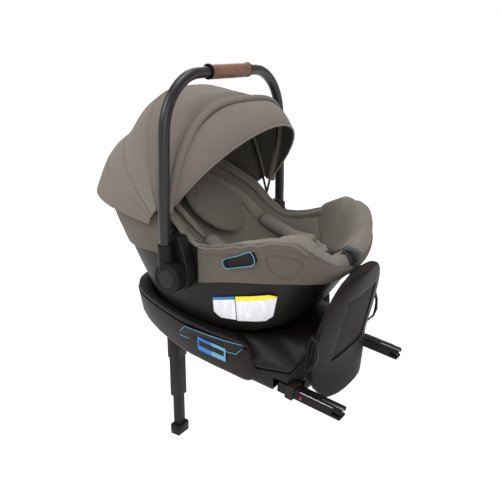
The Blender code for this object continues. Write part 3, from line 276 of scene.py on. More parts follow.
RUBBER = plastic_paint("rubber_look", (0.014, 0.0135, 0.013), 0.78, 0.3)
# Near-black paint for painted shadow in grooves.
SHADOW = plastic_paint("groove_shadow_look", (0.004, 0.004, 0.004), 0.7, 0.02)

LOOKS = {
    "shell_plastic": SHELL, "satin_black": SATIN, "dark_tube": DARK_TUBE, "leg_tube": LEG_TUBE,
    "painted_arm": SATIN, "canopy_cloth": CANOPY, "side_cloth": SIDE, "insert_cloth": INSERT,
    "foam": LINER, "leather": LEATHER, "webbing": WEBBING, "steel": STEEL, "red": RED, "blue": BLUE,
    "grey": GREY, "white": WHITE, "yellow": YELLOW, "rubber": RUBBER,
}
SLOT_OF = {row["node"]: row["material_slot"] for row in frame["record"]["subparts"]}


# ---------------------------------------------------------------- building helpers

def dress(obj, body, mat, smooth_angle=40.0):
    """Gives a new piece its body and material, and shades it."""
    obj.data.materials.clear()
    obj.data.materials.append(mat)
    if obj.type == "MESH":
        obj.data.shade_smooth()
        obj.data.set_sharp_from_angle(angle=math.radians(smooth_angle))
    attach(obj, body)
    return obj


def link_mesh(name, mesh):
    obj = bpy.data.objects.new(name, mesh)
    scene.collection.objects.link(obj)
    return obj


def closed_mesh(name, verts, faces):
    """A new object from a closed set of faces, with its normals turned outwards."""
    mesh = bpy.data.meshes.new(name)
    mesh.from_pydata(verts, [], faces)
    obj = link_mesh(name, mesh)
    shape = bmesh.new()
    shape.from_mesh(mesh)
    bmesh.ops.recalc_face_normals(shape, faces=shape.faces)
    shape.to_mesh(mesh)
    shape.free()
    return obj


def settle(obj):
    """Applies an object's modifiers to its mesh."""
    bpy.context.view_layer.update()
    graph = bpy.context.evaluated_depsgraph_get()
    made = bpy.data.meshes.new_from_object(obj.evaluated_get(graph))
    obj.modifiers.clear()
    obj.data = made
    return obj


def node_copy(node, name):
    """A welded copy of a CAD node's mesh, with its triangles joined into quads where they pair up."""
    mesh = nodes[node].data.copy()
    shape = bmesh.new()
    shape.from_mesh(mesh)
    bmesh.ops.remove_doubles(shape, verts=shape.verts, dist=1e-5)
    bmesh.ops.join_triangles(shape, faces=shape.faces, angle_face_threshold=math.radians(25),
                             angle_shape_threshold=math.radians(60))
    shape.to_mesh(mesh)
    shape.free()
    for face in mesh.polygons:
        face.material_index = 0
    return link_mesh(name, mesh)


def rounded(node, name, width, mat=None, segments=3):
    """Stands for a hard node, with its edges broken by a small radius."""
    obj = node_copy(node, name)
    bevel = obj.modifiers.new("edges", "BEVEL")
    bevel.width = width
    bevel.segments = segments
    bevel.limit_method = "ANGLE"
    bevel.angle_limit = math.radians(34)
    bevel.use_clamp_overlap = True
    settle(obj)
    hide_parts(node)
    return dress(obj, node_body[node], mat or LOOKS[SLOT_OF[node]], 34)


def refined(node, name, mat=None, levels=2, crease=38.0):
    """Stands for a curved node, with its facets subdivided away and its edges kept."""
    obj = node_copy(node, name)
    shape = bmesh.new()
    shape.from_mesh(obj.data)
    layer = shape.edges.layers.float.get("crease_edge") or shape.edges.layers.float.new("crease_edge")
    for edge in shape.edges:
        if len(edge.link_faces) == 2 and edge.calc_face_angle(0.0) > math.radians(crease):
            edge[layer] = 0.85
    shape.to_mesh(obj.data)
    shape.free()
    subdivision = obj.modifiers.new("smooth", "SUBSURF")
    subdivision.levels = subdivision.render_levels = levels
    settle(obj)
    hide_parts(node)
    return dress(obj, node_body[node], mat or LOOKS[SLOT_OF[node]], 50)


def tube(name, points, radius, mat, body, closed=False, sides=10):
    """A round cord of cloth or plastic along points, as a mesh."""
    line = [Vector(p) for p in points]
    count = len(line)
    rings, verts, faces = [], [], []
    normal = None
    for k in range(count):
        before = line[k - 1] if closed or k > 0 else line[k]
        after = line[(k + 1) % count] if closed or k < count - 1 else line[k]
        along = (after - before).normalized()
        if normal is None:
            normal = along.orthogonal().normalized()
        normal = (normal - along * normal.dot(along)).normalized()
        side = along.cross(normal)
        ring = []
        for s in range(sides):
            turn = 2 * math.pi * s / sides
            ring.append(len(verts))
            verts.append(line[k] + (normal * math.cos(turn) + side * math.sin(turn)) * radius)
        rings.append(ring)
    for k in range(count if closed else count - 1):
        a, b = rings[k], rings[(k + 1) % count]
        for s in range(sides):
            t = (s + 1) % sides
            faces.append((a[s], a[t], b[t], b[s]))
    if not closed:
        faces.append(tuple(reversed(rings[0])))
        faces.append(tuple(rings[-1]))
    return dress(closed_mesh(name, verts, faces), body, mat, 60)


def sheet_object(name, rows, thickness, offset=-1.0, levels=1):
    """A sheet of cloth through rows of points, given its thickness and subdivided."""
    verts = [Vector(p) for row in rows for p in row]
    width = len(rows[0])
    faces = [
        (r * width + c, r * width + c + 1, (r + 1) * width + c + 1, (r + 1) * width + c)
        for r in range(len(rows) - 1) for c in range(width - 1)
    ]
    mesh = bpy.data.meshes.new(name)
    mesh.from_pydata(verts, [], faces)
    obj = link_mesh(name, mesh)
    solid = obj.modifiers.new("thickness", "SOLIDIFY")
    solid.thickness = thickness
    solid.offset = offset
    subdivision = obj.modifiers.new("smooth", "SUBSURF")
    subdivision.levels = subdivision.render_levels = levels
    return settle(obj)


def tree_of(obj):
    """A tree of an object's faces, for finding where a ray meets them."""
    spots = [vertex.co.copy() for vertex in obj.data.vertices]
    return BVHTree.FromPolygons(spots, [tuple(face.vertices) for face in obj.data.polygons])


def on_side(tree, x, z, side, lift=0.0):
    """The point where a line across the seat first meets a surface from one side; side is -1 or 1."""
    hit, normal, _, _ = tree.ray_cast(Vector((x, side * 0.6, z)), Vector((0, -side, 0)))
    return None if hit is None else hit + normal * lift


def from_above(tree, x, y, lift=0.0, top=0.6):
    """The point where a line straight down from the height top first meets a surface."""
    hit, normal, _, _ = tree.ray_cast(Vector((x, y, top)), Vector((0, 0, -1)))
    return None if hit is None else hit + normal * lift


def smooth_line(points, steps=6, closed=False):
    """A Catmull-Rom line through points of any size."""
    points = [Vector(p) for p in points]
    count = len(points)
    out = []
    for k in range(count if closed else count - 1):
        a = points[k - 1] if closed or k > 0 else points[k]
        b, c = points[k], points[(k + 1) % count]
        d = points[(k + 2) % count] if closed or k < count - 2 else c
        for s in range(steps):
            t = s / steps
            square = (2 * a - 5 * b + 4 * c - d) * t * t
            cube = (3 * b - a - 3 * c + d) * t ** 3
            out.append(0.5 * ((2 * b) + (c - a) * t + square + cube))
    if not closed:
        out.append(points[-1])
    return out


def stitches(name, line, body, pitch=0.0052, length=0.0032, radius=0.00042, mat=None):
    """A run of separate stitches along a line, joined into one piece."""
    mat = mat or THREAD
    shape = bmesh.new()
    walked, ahead = 0.0, pitch
    for a, b in zip(line, line[1:]):
        a, b = Vector(a), Vector(b)
        run = b - a
        while ahead <= walked + run.length and run.length > 0:
            middle = a + run * ((ahead - walked) / run.length)
            turn = run.to_track_quat("X", "Z").to_matrix().to_4x4()
            squash = Matrix.Diagonal((length / 2, radius, radius, 1))
            bmesh.ops.create_uvsphere(shape, u_segments=6, v_segments=5, radius=1.0,
                                      matrix=Matrix.Translation(middle) @ turn @ squash)
            ahead += pitch
        walked += run.length
    mesh = bpy.data.meshes.new(name)
    shape.to_mesh(mesh)
    shape.free()
    return dress(link_mesh(name, mesh), body, mat)


def wrinkled(obj, amount, scale, seed):
    """Moves each vertex out along its normal by a smooth noise, as slack cloth."""
    offset = Vector((seed * 3.1, seed * 1.7, seed * 5.3))
    obj.data.update()
    normals = [v.normal.copy() for v in obj.data.vertices]
    for vertex, normal in zip(obj.data.vertices, normals):
        vertex.co += normal * abs(noise.noise(vertex.co * scale + offset)) * amount
    return obj


# ---------------------------------------------------------------- padding

PUFF_FRAMES = 20


def puffed(node, name, mat, voxel, cap, shrink, pressure, fill):
    """Stands for a padded node: its solid is remeshed, blown up by a cloth simulation and capped."""
    obj = node_copy(node, name)
    remesh = obj.modifiers.new("remesh", "REMESH")
    remesh.mode = "VOXEL"
    remesh.voxel_size = voxel
    settle(obj)
    smooth = obj.modifiers.new("even", "SMOOTH")
    smooth.factor, smooth.iterations = 0.5, 4
    settle(obj)
    for vertex, normal in zip(obj.data.vertices, [v.normal.copy() for v in obj.data.vertices]):
        vertex.co -= normal * shrink
    rest = [v.co.copy() for v in obj.data.vertices]
    cloth = obj.modifiers.new("cloth", "CLOTH")
    cloth.settings.effector_weights.gravity = 0
    cloth.settings.use_pressure = True
    cloth.settings.uniform_pressure_force = pressure
    cloth.settings.quality = 5
    cloth.point_cache.frame_start, cloth.point_cache.frame_end = 1, PUFF_FRAMES
    for step in range(1, PUFF_FRAMES + 1):
        scene.frame_set(step)
    settle(obj)
    scene.frame_set(1)
    for vertex, start in zip(obj.data.vertices, rest):
        move = vertex.co - start
        if move.length > cap:
            vertex.co = start + move.normalized() * cap
    ease = obj.modifiers.new("ease", "SMOOTH")
    ease.factor, ease.iterations = 0.5, 3
    subdivision = obj.modifiers.new("smooth", "SUBSURF")
    subdivision.levels = subdivision.render_levels = 1
    settle(obj)
    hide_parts(node)
    dress(obj, node_body[node], mat, 80)
    return obj


PADS = {
    node: puffed(node, f"{node}_pad", *settings) for node, settings in (
        ("head_pillow", (PILLOW, 0.0045, 0.006, 0.0012, 5.0, 0.7)),
        ("body_insert", (INSERT, 0.0045, 0.004, 0.0012, 3.0, 0.5)),
        ("head_wing_left", (INSERT, 0.0040, 0.004, 0.0010, 3.0, 0.6)),
        ("head_wing_right", (INSERT, 0.0040, 0.004, 0.0010, 3.0, 0.6)),
    )
}


# ---------------------------------------------------------------- canopy

PIVOT = Vector((-0.080, 0.0, 0.2676))
FRONT_BOW = (math.radians(13.9), 0.246, 0.186, 3.4)
MIDDLE_BOW = (math.radians(-15.7), 0.270, 0.193, 3.0)
# Each arch is its tilt in degrees, its height, its half width and how square it is.
REAR_ARCHES = [
    (math.radians(tilt), height, half, n) for tilt, height, half, n in (
        (-16.8, 0.269, 0.193, 3.0), (-25, 0.266, 0.191, 2.8), (-38, 0.258, 0.187, 2.5),
        (-48, 0.258, 0.184, 2.4), (-58, 0.276, 0.180, 2.35), (-66, 0.287, 0.178, 2.35),
        (-75, 0.294, 0.176, 2.45), (-83, 0.303, 0.176, 2.5),
    )
]
FRONT_ARCHES = [
    (math.radians(tilt), height, half, n) for tilt, height, half, n in (
        (12.9, 0.246, 0.186, 3.4), (5, 0.247, 0.187, 3.3), (-4, 0.2535, 0.189, 3.2),
        (-10, 0.262, 0.191, 3.1), (-14.7, 0.269, 0.193, 3.0),
    )
]
CLOTH_START = 0.050
CLOTH_T = 0.0020


def arch_point(arch, t, out=0.0):
    """A point of an arch that starts on the pivot line; t runs from 0 to 1 across it."""
    tilt, height, half, n = arch
    c, s = math.cos(math.pi * t), math.sin(math.pi * t)
    scale = (abs(c) ** n + abs(s) ** n) ** (-1 / n)
    up = (height + out) * s * scale
    return PIVOT + Vector((up * math.sin(tilt), -(half + out) * c * scale, up * math.cos(tilt)))


def arch_between(arches, share):
    """An arch at a share of the way through a list of them."""
    rows = smooth_line([Vector(a) for a in arches], 8)
    spot = share * (len(rows) - 1)
    low = min(int(spot), len(rows) - 2)
    return tuple(rows[low].lerp(rows[low + 1], spot - low))


def fan_rows(arches, rows, columns, gathers, slack):
    """Cloth over a fan of arches, gathered into soft folds towards the pivots."""
    out = []
    for r in range(rows + 1):
        share = r / rows
        arch = arch_between(arches, share)
        line = []
        for c in range(columns + 1):
            t = CLOTH_START + (1 - 2 * CLOTH_START) * c / columns
            near = math.exp(-((min(t, 1 - t) - CLOTH_START) / 0.11) ** 2)
            fold = gathers * near * math.sin(math.pi * 9 * share + 2.0 * t) * math.sin(math.pi * share)
            sag = -slack * math.sin(math.pi * share) * math.sin(math.pi * t)
            point = arch_point(arch, t, fold + sag)
            line.append(point)
        out.append(line)
    return out


def canopy_cloth():
    """The two cloths between the bows and the carrier, each one sheet."""
    rear = sheet_object("canopy_rear_skin", fan_rows(REAR_ARCHES, 34, 56, 0.0016, 0.0012), CLOTH_T, 1.0)
    front = sheet_object("canopy_front_skin", fan_rows(FRONT_ARCHES, 16, 56, 0.0012, 0.0015), CLOTH_T, 1.0)
    for obj, node in ((rear, "canopy_rear_cloth"), (front, "canopy_front_cloth")):
        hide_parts(node)
        obj.data.materials.clear()
        obj.data.materials.append(CANOPY)
        obj.data.shade_smooth()
    return rear, front


def inner_faces_to(obj, mat, centre):
    """Gives the faces that look towards a point a second material; on the canopy this paints shade on its
    inside.
    """
    obj.data.materials.append(mat)
    for face in obj.data.polygons:
        if face.normal.dot(Vector(centre) - face.center) > 0:
            face.material_index = 1


REAR_SKIN, FRONT_SKIN = canopy_cloth()
# The canopy's inside faces take the darker cloth: painted shade.
for skin in (REAR_SKIN, FRONT_SKIN):
    inner_faces_to(skin, CANOPY_SHADE_AND_SEAM, PIVOT)


def blend_canopy(obj, front):
    """Bakes a canopy piece's placement into its mesh, the same way for front and rear cloth."""
    if front:
        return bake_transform(obj)
    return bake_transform(obj)


blend_canopy(REAR_SKIN, False)
blend_canopy(FRONT_SKIN, True)


def visor_point(share, t, out=0.0):
    """A point of the visor: share 0 is at the front bow and 1 at its free edge."""
    back = arch_point((FRONT_BOW[0] + math.radians(1.0), *FRONT_BOW[1:]), 0.075 + 0.85 * t)
    turn = math.pi * (0.030 + 0.94 * t)
    rise = 0.201 * math.sin(turn)
    lean = math.radians(40)
    front = Vector((-0.070 + rise * math.sin(lean), -0.180 * math.cos(turn), 0.3086 + rise * math.cos(lean)))
    point = back.lerp(front, share)
    outward = (point - PIVOT).normalized()
    return point + outward * (0.010 * math.sin(math.pi * share) * math.sin(math.pi * t) + out)


def visor():
    rows = [[visor_point(r / 14, c / 56) for c in range(57)] for r in range(15)]
    obj = sheet_object("canopy_visor_skin", rows, CLOTH_T, 1.0)
    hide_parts("canopy_visor")
    dress(obj, "canopy_front", CANOPY, 60)
    # The visor's inside faces take the darker cloth: painted shade.
    inner_faces_to(obj, CANOPY_SHADE_AND_SEAM, PIVOT)
    edge = [visor_point(1.0, c / 90, -0.0008) for c in range(91)]
    tube("visor_edge_binding", edge, 0.0021, PIPING, "canopy_front")
    line = [visor_point(0.94, c / 120, 0.0003) for c in range(121)]
    stitches("visor_edge_stitches", line, "canopy_front")


visor()


def arch_line(arch, first, out, steps=90):
    """Points along an arch, leaving out the share first at each end."""
    return [arch_point(arch, first + (1 - 2 * first) * k / steps, out) for k in range(steps + 1)]


def bow_roll(name, arch, radius, body, out):
    """Cloth sleeve that wraps a bow, raised over the canopy."""
    line = arch_line(arch, 0.055, out)
    tube(name, line, radius, CANOPY, body, sides=14)


bow_roll("front_bow_sleeve", FRONT_BOW, 0.0090, "canopy_front", -0.0008)
# Thin dark lines on both sides of the front bow's sleeve: painted shadow where the sleeve meets the canopy.
for shift, word in ((0.0370, "front"), (-0.0370, "back")):
    shade_arch = arch_line((FRONT_BOW[0] + shift, FRONT_BOW[1] + 0.0002, *FRONT_BOW[2:]), 0.08, 0.0004)
    tube(f"sleeve_shadow_line_{word}", shade_arch, 0.0014, CANOPY_SHADE_AND_SEAM, "canopy_front", sides=8)
bow_roll("middle_bow_sleeve", MIDDLE_BOW, 0.0054, "canopy_middle", -0.0022)


def canopy_seams():
    """Sewn seams along the rear cloth's panels, and beside the front bow's sleeve."""
    for word, arch in (("upper", REAR_ARCHES[3]), ("lower", REAR_ARCHES[5])):
        line = arch_line(arch, 0.06, 0.0002)
        seam = tube(f"rear_seam_{word}", line, 0.0013, CANOPY_SHADE_AND_SEAM, "carrier", sides=8)
        seam.parent = None
        blend_canopy(seam, False)
        line = arch_line((arch[0] + 0.022, *arch[1:]), 0.06, 0.0006, 120)
        row = stitches(f"rear_stitches_{word}", line, "carrier")
        row.parent = None
        blend_canopy(row, False)
    line = [visor_point(0.10, 0.02 + 0.96 * k / 120, 0.0004) for k in range(121)]
    stitches("sleeve_stitches_front", line, "canopy_front")
    line = arch_line((FRONT_BOW[0] - 0.040, *FRONT_BOW[1:]), 0.10, 0.0004, 120)
    stitches("sleeve_stitches_back", line, "canopy_front")
    hem = arch_line(REAR_ARCHES[-1], 0.055, -0.0008)
    tube("canopy_rear_hem", hem, 0.0013, CANOPY, "carrier")


canopy_seams()


# ---------------------------------------------------------------- carrier's covers

def cover_piece(node, name, seed):
    obj = refined(node, name, SIDE, 2, 42)
    wrinkled(obj, 0.0009, 26, seed)
    wrinkled(obj, 0.0006, 70, seed + 1)
    return obj


HEAD_COVER = cover_piece("head_cover", "head_cover_cloth", 3)
FOOT_COVER = cover_piece("foot_cover", "foot_cover_cloth", 5)
FOOT_TREE, HEAD_TREE = tree_of(FOOT_COVER), tree_of(HEAD_COVER)
refined("carrier_shell", "carrier_shell_skin", SHELL, 1, 40)
LINER_SKIN = refined("foam_liner", "liner_cover", LINER, 1, 40)


def side_line(tree, spots, side, lift, steps, closed):
    """A smooth line over a side surface, through X and Z spots."""
    found = []
    for spot in smooth_line([Vector((x, z, 0.0)) for x, z in spots], steps, closed):
        hit = on_side(tree, spot.x, spot.y, side, lift)
        if hit is not None:
            found.append(hit)
    return found


PATCH = (
    (0.136, 0.252), (0.160, 0.256), (0.192, 0.246), (0.190, 0.230),
    (0.176, 0.212), (0.154, 0.212), (0.140, 0.228),
)
PATCH_INNER = [(x * 0.93 + 0.0114, z * 0.93 + 0.0164) for x, z in PATCH]
for side, word in ((-1, "left"), (1, "right")):
    patch = side_line(FOOT_TREE, PATCH, side, 0.0004, 8, True)
    tube(f"side_patch_seam_{word}", patch, 0.0009, SIDE, "carrier", True, sides=8)
    row = side_line(FOOT_TREE, PATCH_INNER, side, 0.0006, 12, True)
    stitches(f"side_patch_stitches_{word}", row, "carrier")


def rim_strip(tree, side, word, xs, drop, radius, name, mat):
    """A seam that follows the cover's top edge at a drop below it."""
    line = []
    for x in xs:
        top = None
        for k in range(60):
            z = 0.42 - 0.004 * k
            hit = on_side(tree, x, z, side)
            if hit is not None:
                top = hit.z
                break
        if top is not None:
            hit = on_side(tree, x, top - drop, side, 0.0002)
            if hit is not None:
                line.append(hit)
    line = smooth_line(line, 3)
    if len(line) > 3:
        tube(f"{name}_{word}", line, radius, mat, "carrier", sides=8)


FOOT_XS = [-0.085 + 0.012 * k for k in range(25)]
HEAD_XS = [-0.315 + 0.012 * k for k in range(19)]
for side, word in ((-1, "left"), (1, "right")):
    rim_strip(FOOT_TREE, side, word, FOOT_XS, 0.014, 0.0010, "foot_cover_seam", SIDE)
    rim_strip(FOOT_TREE, side, word, FOOT_XS, 0.0035, 0.0021, "foot_cover_binding", PIPING)
    rim_strip(HEAD_TREE, side, word, HEAD_XS, 0.0035, 0.0021, "head_cover_binding", PIPING)


# The height of the carrier's edge along its length, as X and Z.
RIM_LINE = (
    (-0.310, 0.3896), (-0.285, 0.3846), (-0.240, 0.3696), (-0.170, 0.3416), (-0.110, 0.3106),
    (-0.087, 0.2956), (-0.056, 0.2656), (-0.025, 0.2466), (0.000, 0.2426), (0.040, 0.2496),
    (0.090, 0.2666), (0.142, 0.2796), (0.175, 0.2796), (0.202, 0.2736), (0.230, 0.2596),
)
RIM_HEAD, RIM_FOOT, RIM_HALF, RIM_CENTRE, FOOT_DIP = -0.310, 0.226, 0.161, -0.030, 0.050


def rim_point(angle, out=0.0, lift=0.0):
    """A point of the carrier's top edge; angle 0 is at the feet and 180 degrees at the head."""
    c, s = math.cos(angle), math.sin(angle)
    n = 4.0 if c > 0 else 2.35
    reach = RIM_FOOT - RIM_CENTRE if c > 0 else RIM_CENTRE - RIM_HEAD
    scale = (abs(c) ** n + abs(s) ** n) ** (-1 / n)
    x, y = RIM_CENTRE + (reach + out) * c * scale, (RIM_HALF + out) * s * scale
    height = RIM_LINE[-1][1]
    for (a, low), (b, high) in zip(RIM_LINE, RIM_LINE[1:]):
        if x <= b:
            height = low + (high - low) * (max(x, a) - a) / (b - a)
            break
    along = min(1.0, max(0.0, (x - 0.130) / 0.080))
    middle = max(0.0, 1.0 - (abs(y) / 0.125) ** 2.5)
    return Vector((x, y, height - FOOT_DIP * along * along * (3 - 2 * along) * middle + lift))


def rim_roll():
    """The seat cloth's padded roll over the shell's edge, all round."""
    line = [rim_point(2 * math.pi * k / 180, -0.0015, 0.0005) for k in range(180)]
    tube("rim_roll", line, 0.0056, PILLOW, "carrier", True, sides=14)
    line = [rim_point(2 * math.pi * k / 180, -0.0110, -0.0050) for k in range(180)]
    tube("rim_inner_roll", line, 0.0072, LINER, "carrier", True, sides=14)
    seam = [rim_point(2 * math.pi * k / 260, 0.0043, -0.0030) for k in range(261)]
    stitches("rim_roll_stitches", seam, "carrier")


rim_roll()


def foot_padding():
    """Quilted pad that wraps the carrier's edge round the feet, from the seat to the outside."""
    near, far = math.radians(-52), math.radians(66)
    columns, rows = 120, 22
    below = [tree_of(LINER_SKIN), tree_of(PADS["body_insert"])]
    outer, under = [], []
    for c in range(columns + 1):
        share = c / columns
        angle = near + (far - near) * share
        puff = 1.0 + 0.55 * max(0.0, math.sin(angle))
        taper = min(1.0, math.sin(math.pi * share) * 3.2) ** 0.6
        channel = abs(math.sin(math.pi * share * 7))
        quilt = 1.0 - 0.42 * (1 - channel) ** 4 * taper
        tall = (0.0035 + 0.0125 * puff * taper) * quilt
        top, low = [], []
        for r in range(rows + 1):
            if r <= 9:
                turn = math.pi * (-0.10 + 0.60 * r / 9)
                out = 0.0105 * puff * (0.50 + 0.50 * taper) * (0.6 + 0.4 * quilt) * math.cos(turn)
                spot = rim_point(angle, out - 0.0045, (tall if turn > 0 else 0.030) * math.sin(turn) + 0.002)
                low.append(rim_point(angle, out * 0.55 - 0.0045, tall * 0.4 * math.sin(turn) - 0.001))
            else:
                share_in = (r - 9) / (rows - 9)
                crown = rim_point(angle, -0.0045 - 0.044 * taper * share_in, 0.0)
                edge = rim_point(angle, -0.0045, tall + 0.002).z
                hits = [from_above(tree, crown.x, crown.y, 0.0, 0.40) for tree in below]
                seat = max((hit.z for hit in hits if hit is not None), default=crown.z)
                drop = share_in * share_in * (3 - 2 * share_in)
                swell = 0.006 * puff * (quilt - 0.75) * math.sin(math.pi * share_in)
                height = edge + (min(edge, seat + 0.003) - edge) * drop + swell
                spot = Vector((crown.x, crown.y, height))
                low.append(Vector((crown.x, crown.y, height - 0.007)))
            top.append(spot)
        outer.append(top)
        under.append(low)
    verts, faces = [], []
    for grid in (outer, under):
        for row in grid:
            verts.extend(row)
    width, block = rows + 1, (columns + 1) * (rows + 1)
    for c in range(columns):
        for r in range(rows):
            a, b = c * width + r, (c + 1) * width + r
            faces.append((a, b, b + 1, a + 1))
            faces.append((block + a + 1, block + b + 1, block + b, block + a))
    for c in range(columns):
        for edge in (0, rows):
            a, b = c * width + edge, (c + 1) * width + edge
            faces.append((a, block + a, block + b, b) if edge == 0 else (b, block + b, block + a, a))
    for edge in (0, columns):
        for r in range(rows):
            a = edge * width + r
            around = (a, a + 1, block + a + 1, block + a)
            faces.append(around if edge == 0 else (a + 1, a, block + a, block + a + 1))
    obj = closed_mesh("foot_pad_quilt", verts, faces)
    wrinkled(obj, 0.0010, 40, 9)
    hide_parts("foot_pad")
    dress(obj, "carrier", PILLOW, 80)


foot_padding()


def strap_over_foot():
    """The adjuster's webbing, drawn over the foot pad and left hanging outside."""
    rows = []
    for k in range(31):
        turn = math.pi * (0.92 - 1.02 * k / 30)
        out = 0.0128 * math.cos(turn) - (0.006 if math.cos(turn) < 0 else 0.0) - 0.0045
        lift = 0.0190 * math.sin(turn) if turn > 0 else -0.001 + 0.10 * turn
        spot = rim_point(0.0, out, lift + 0.0030)
        hit = FOOT_TREE.ray_cast(Vector((0.5, 0.0, spot.z)), Vector((-1, 0, 0)))[0] if turn < 0 else None
        if hit is not None:
            spot.x = hit.x + 0.0024
        rows.append([Vector((spot.x, 0.038 * (c / 6 - 0.5), spot.z)) for c in range(7)])
    obj = sheet_object("adjuster_strap_loop", rows, 0.0016, 0.0, 1)
    dress(obj, "carrier", WEBBING, 40)


strap_over_foot()


def padded_roll(name, line, radius, flat, mat):
    """A stuffed roll along points, with rounded ends."""
    points = smooth_line(line, 10)
    count = len(points)
    verts, faces, sides = [], [], 16
    for k, point in enumerate(points):
        ahead = points[min(k + 1, count - 1)] - points[max(k - 1, 0)]
        along = ahead.normalized()
        side = along.cross(Vector((0, 0, 1))).normalized()
        up = side.cross(along)
        share = k / (count - 1)
        end = min(1.0, math.sin(math.pi * min(1.0, max(0.0, 0.03 + 0.94 * share))) * 2.6) ** 0.5
        for s in range(sides):
            turn = 2 * math.pi * s / sides
            across, rise = radius * end * math.cos(turn), radius * flat * end * math.sin(turn)
            verts.append(point + side * across + up * rise)
    for k in range(count - 1):
        for s in range(sides):
            t = (s + 1) % sides
            faces.append((k * sides + s, k * sides + t, (k + 1) * sides + t, (k + 1) * sides + s))
    faces.append(tuple(range(sides)))
    faces.append(tuple(reversed(range((count - 1) * sides, count * sides))))
    obj = closed_mesh(name, verts, faces)
    subdivision = obj.modifiers.new("smooth", "SUBSURF")
    subdivision.levels = subdivision.render_levels = 1
    settle(obj)
    wrinkled(obj, 0.0012, 45, 11)
    dress(obj, "carrier", mat, 80)
    return obj


def seat_line(seat, spots, lift):
    """Points on the seat under X and Y spots, lifted off it."""
    line = [from_above(seat, x, y, lift, 0.30) for x, y in spots]
    return [point for point in line if point is not None]


THIGH = ((-0.045, 0.104), (-0.005, 0.107), (0.050, 0.104), (0.100, 0.098), (0.142, 0.092))
KNEES = ((0.144, -0.098), (0.150, -0.050), (0.152, 0.0), (0.150, 0.050), (0.144, 0.098))


def insert_rolls():
    """Bolsters of the padded insert: along both thighs and across the knees, with two rows of stitches."""
    seat = tree_of(PADS["body_insert"])
    for side, word in ((-1, "left"), (1, "right")):
        line = seat_line(seat, [(x, side * y) for x, y in THIGH], 0.007)
        padded_roll(f"thigh_bolster_{word}", line, 0.0175, 0.75, INSERT)
    padded_roll("knee_roll", seat_line(seat, KNEES, 0.008), 0.0165, 0.70, PILLOW)
    for y, word in ((-0.052, "left"), (0.052, "right")):
        line = seat_line(seat, [(-0.02 + 0.16 * k / 40, y) for k in range(41)], 0.0006)
        stitches(f"insert_stitches_{word}", line, "carrier")


insert_rolls()


# ---------------------------------------------------------------- carrier's trims

GUIDE_EDGE = (
    (0.050, 0.2336), (0.080, 0.2460), (0.105, 0.2576), (0.112, 0.2556), (0.118, 0.2436),
    (0.112, 0.2336), (0.084, 0.2250), (0.056, 0.2166), (0.048, 0.2236),
)
for side, word in ((-1, "left"), (1, "right")):
    rounded(f"belt_guide_{word}", f"belt_guide_{word}_trim", 0.0008, SHELL)
    low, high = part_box(f"belt_guide_{word}")
    outer = side * (max(abs(low.y), abs(high.y)) + 0.0002)
    ring = [Vector((p.x, outer, p.y)) for p in smooth_line([(x, z, 0) for x, z in GUIDE_EDGE], 5, True)]
    tube(f"belt_guide_edge_{word}", ring, 0.0009, LIGHT_BLUE, "carrier", True, sides=8)
    rounded(f"hub_bracket_{word}", f"hub_bracket_{word}_body", 0.0010, SHELL)
    rounded(f"canopy_mount_{word}", f"canopy_mount_{word}_body", 0.0006, SHELL)


def label_paint(name, header, header_from, slope):
    """Film label: a coloured header over a white field with a few pale grey rules, and no words."""
    paint = Paint(name, (0.8, 0.79, 0.82), 0.4)
    split = paint.tree.nodes.new("ShaderNodeSeparateXYZ")
    paint.link(paint.place, split.inputs[0])
    height = paint.maths("SUBTRACT", split.outputs["Z"], paint.maths("MULTIPLY", split.outputs["X"], slope))
    above = paint.maths("GREATER_THAN", height, header_from)
    rules = paint.wave(0.0042, "Z")
    breaks = paint.noise(90, 1.0, (1, 1, 0.2))
    marks = paint.maths("MULTIPLY", rules, breaks)
    field = paint.ramp(marks, (0.80, 0.79, 0.83), (0.56, 0.56, 0.60), 0.40, 0.46)
    node = paint.tree.nodes.new("ShaderNodeMix")
    node.data_type = "RGBA"
    paint.link(above, node.inputs["Factor"])
    paint.link(field, node.inputs["A"])
    node.inputs["B"].default_value = (*header, 1.0)
    paint.colour(node.outputs["Result"])
    paint.rough(paint.noise(40), 0.34, 0.46)
    paint.bump(paint.noise(900), 0.03, 0.0002)
    return paint.made


for word, header, depth, slope in (
    ("white", (0.020, 0.150, 0.420), 0.022, 0.24),
    ("yellow", (0.80, 0.70, 0.010), 0.0375, 0.21),
):
    low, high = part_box(f"label_plate_{word}")
    film = label_paint(f"label_{word}_look", header, high.z - depth, slope)
    rounded(f"label_plate_{word}", f"label_film_{word}", 0.0002, film, 2)


def harness():
    for node in ("shoulder_strap_left", "shoulder_strap_right", "crotch_strap", "adjuster_strap"):
        refined(node, f"{node}_webbing", WEBBING, 1, 30)
    rounded("chest_clip", "chest_clip_body", 0.0012, SHELL)
    rounded("buckle", "buckle_body", 0.0014, SHELL)
    rounded("buckle_button", "buckle_button_cap", 0.0008, RED)
    rounded("adjuster_lever", "adjuster_lever_cap", 0.0008, SATIN)
    rounded("carrier_release_lever", "carrier_release_handle", 0.0010, SATIN)


harness()


# ---------------------------------------------------------------- handle

HANDLE_X, HANDLE_TOP = -0.060, 0.5616
HUB_X, HUB_Z = -0.048, 0.1896
GRIP_HALF = 0.058


def side_ring(x, y, z, radius, count):
    """A ring of points that faces sideways."""
    turns = [2 * math.pi * k / count for k in range(count)]
    return [Vector((x + radius * math.cos(a), y, z + radius * math.sin(a))) for a in turns]


def grip_line(shift, drop):
    """A straight line along the underside of the grip."""
    return [Vector((HANDLE_X + shift, GRIP_HALF * (k / 20 - 1), HANDLE_TOP - drop)) for k in range(41)]


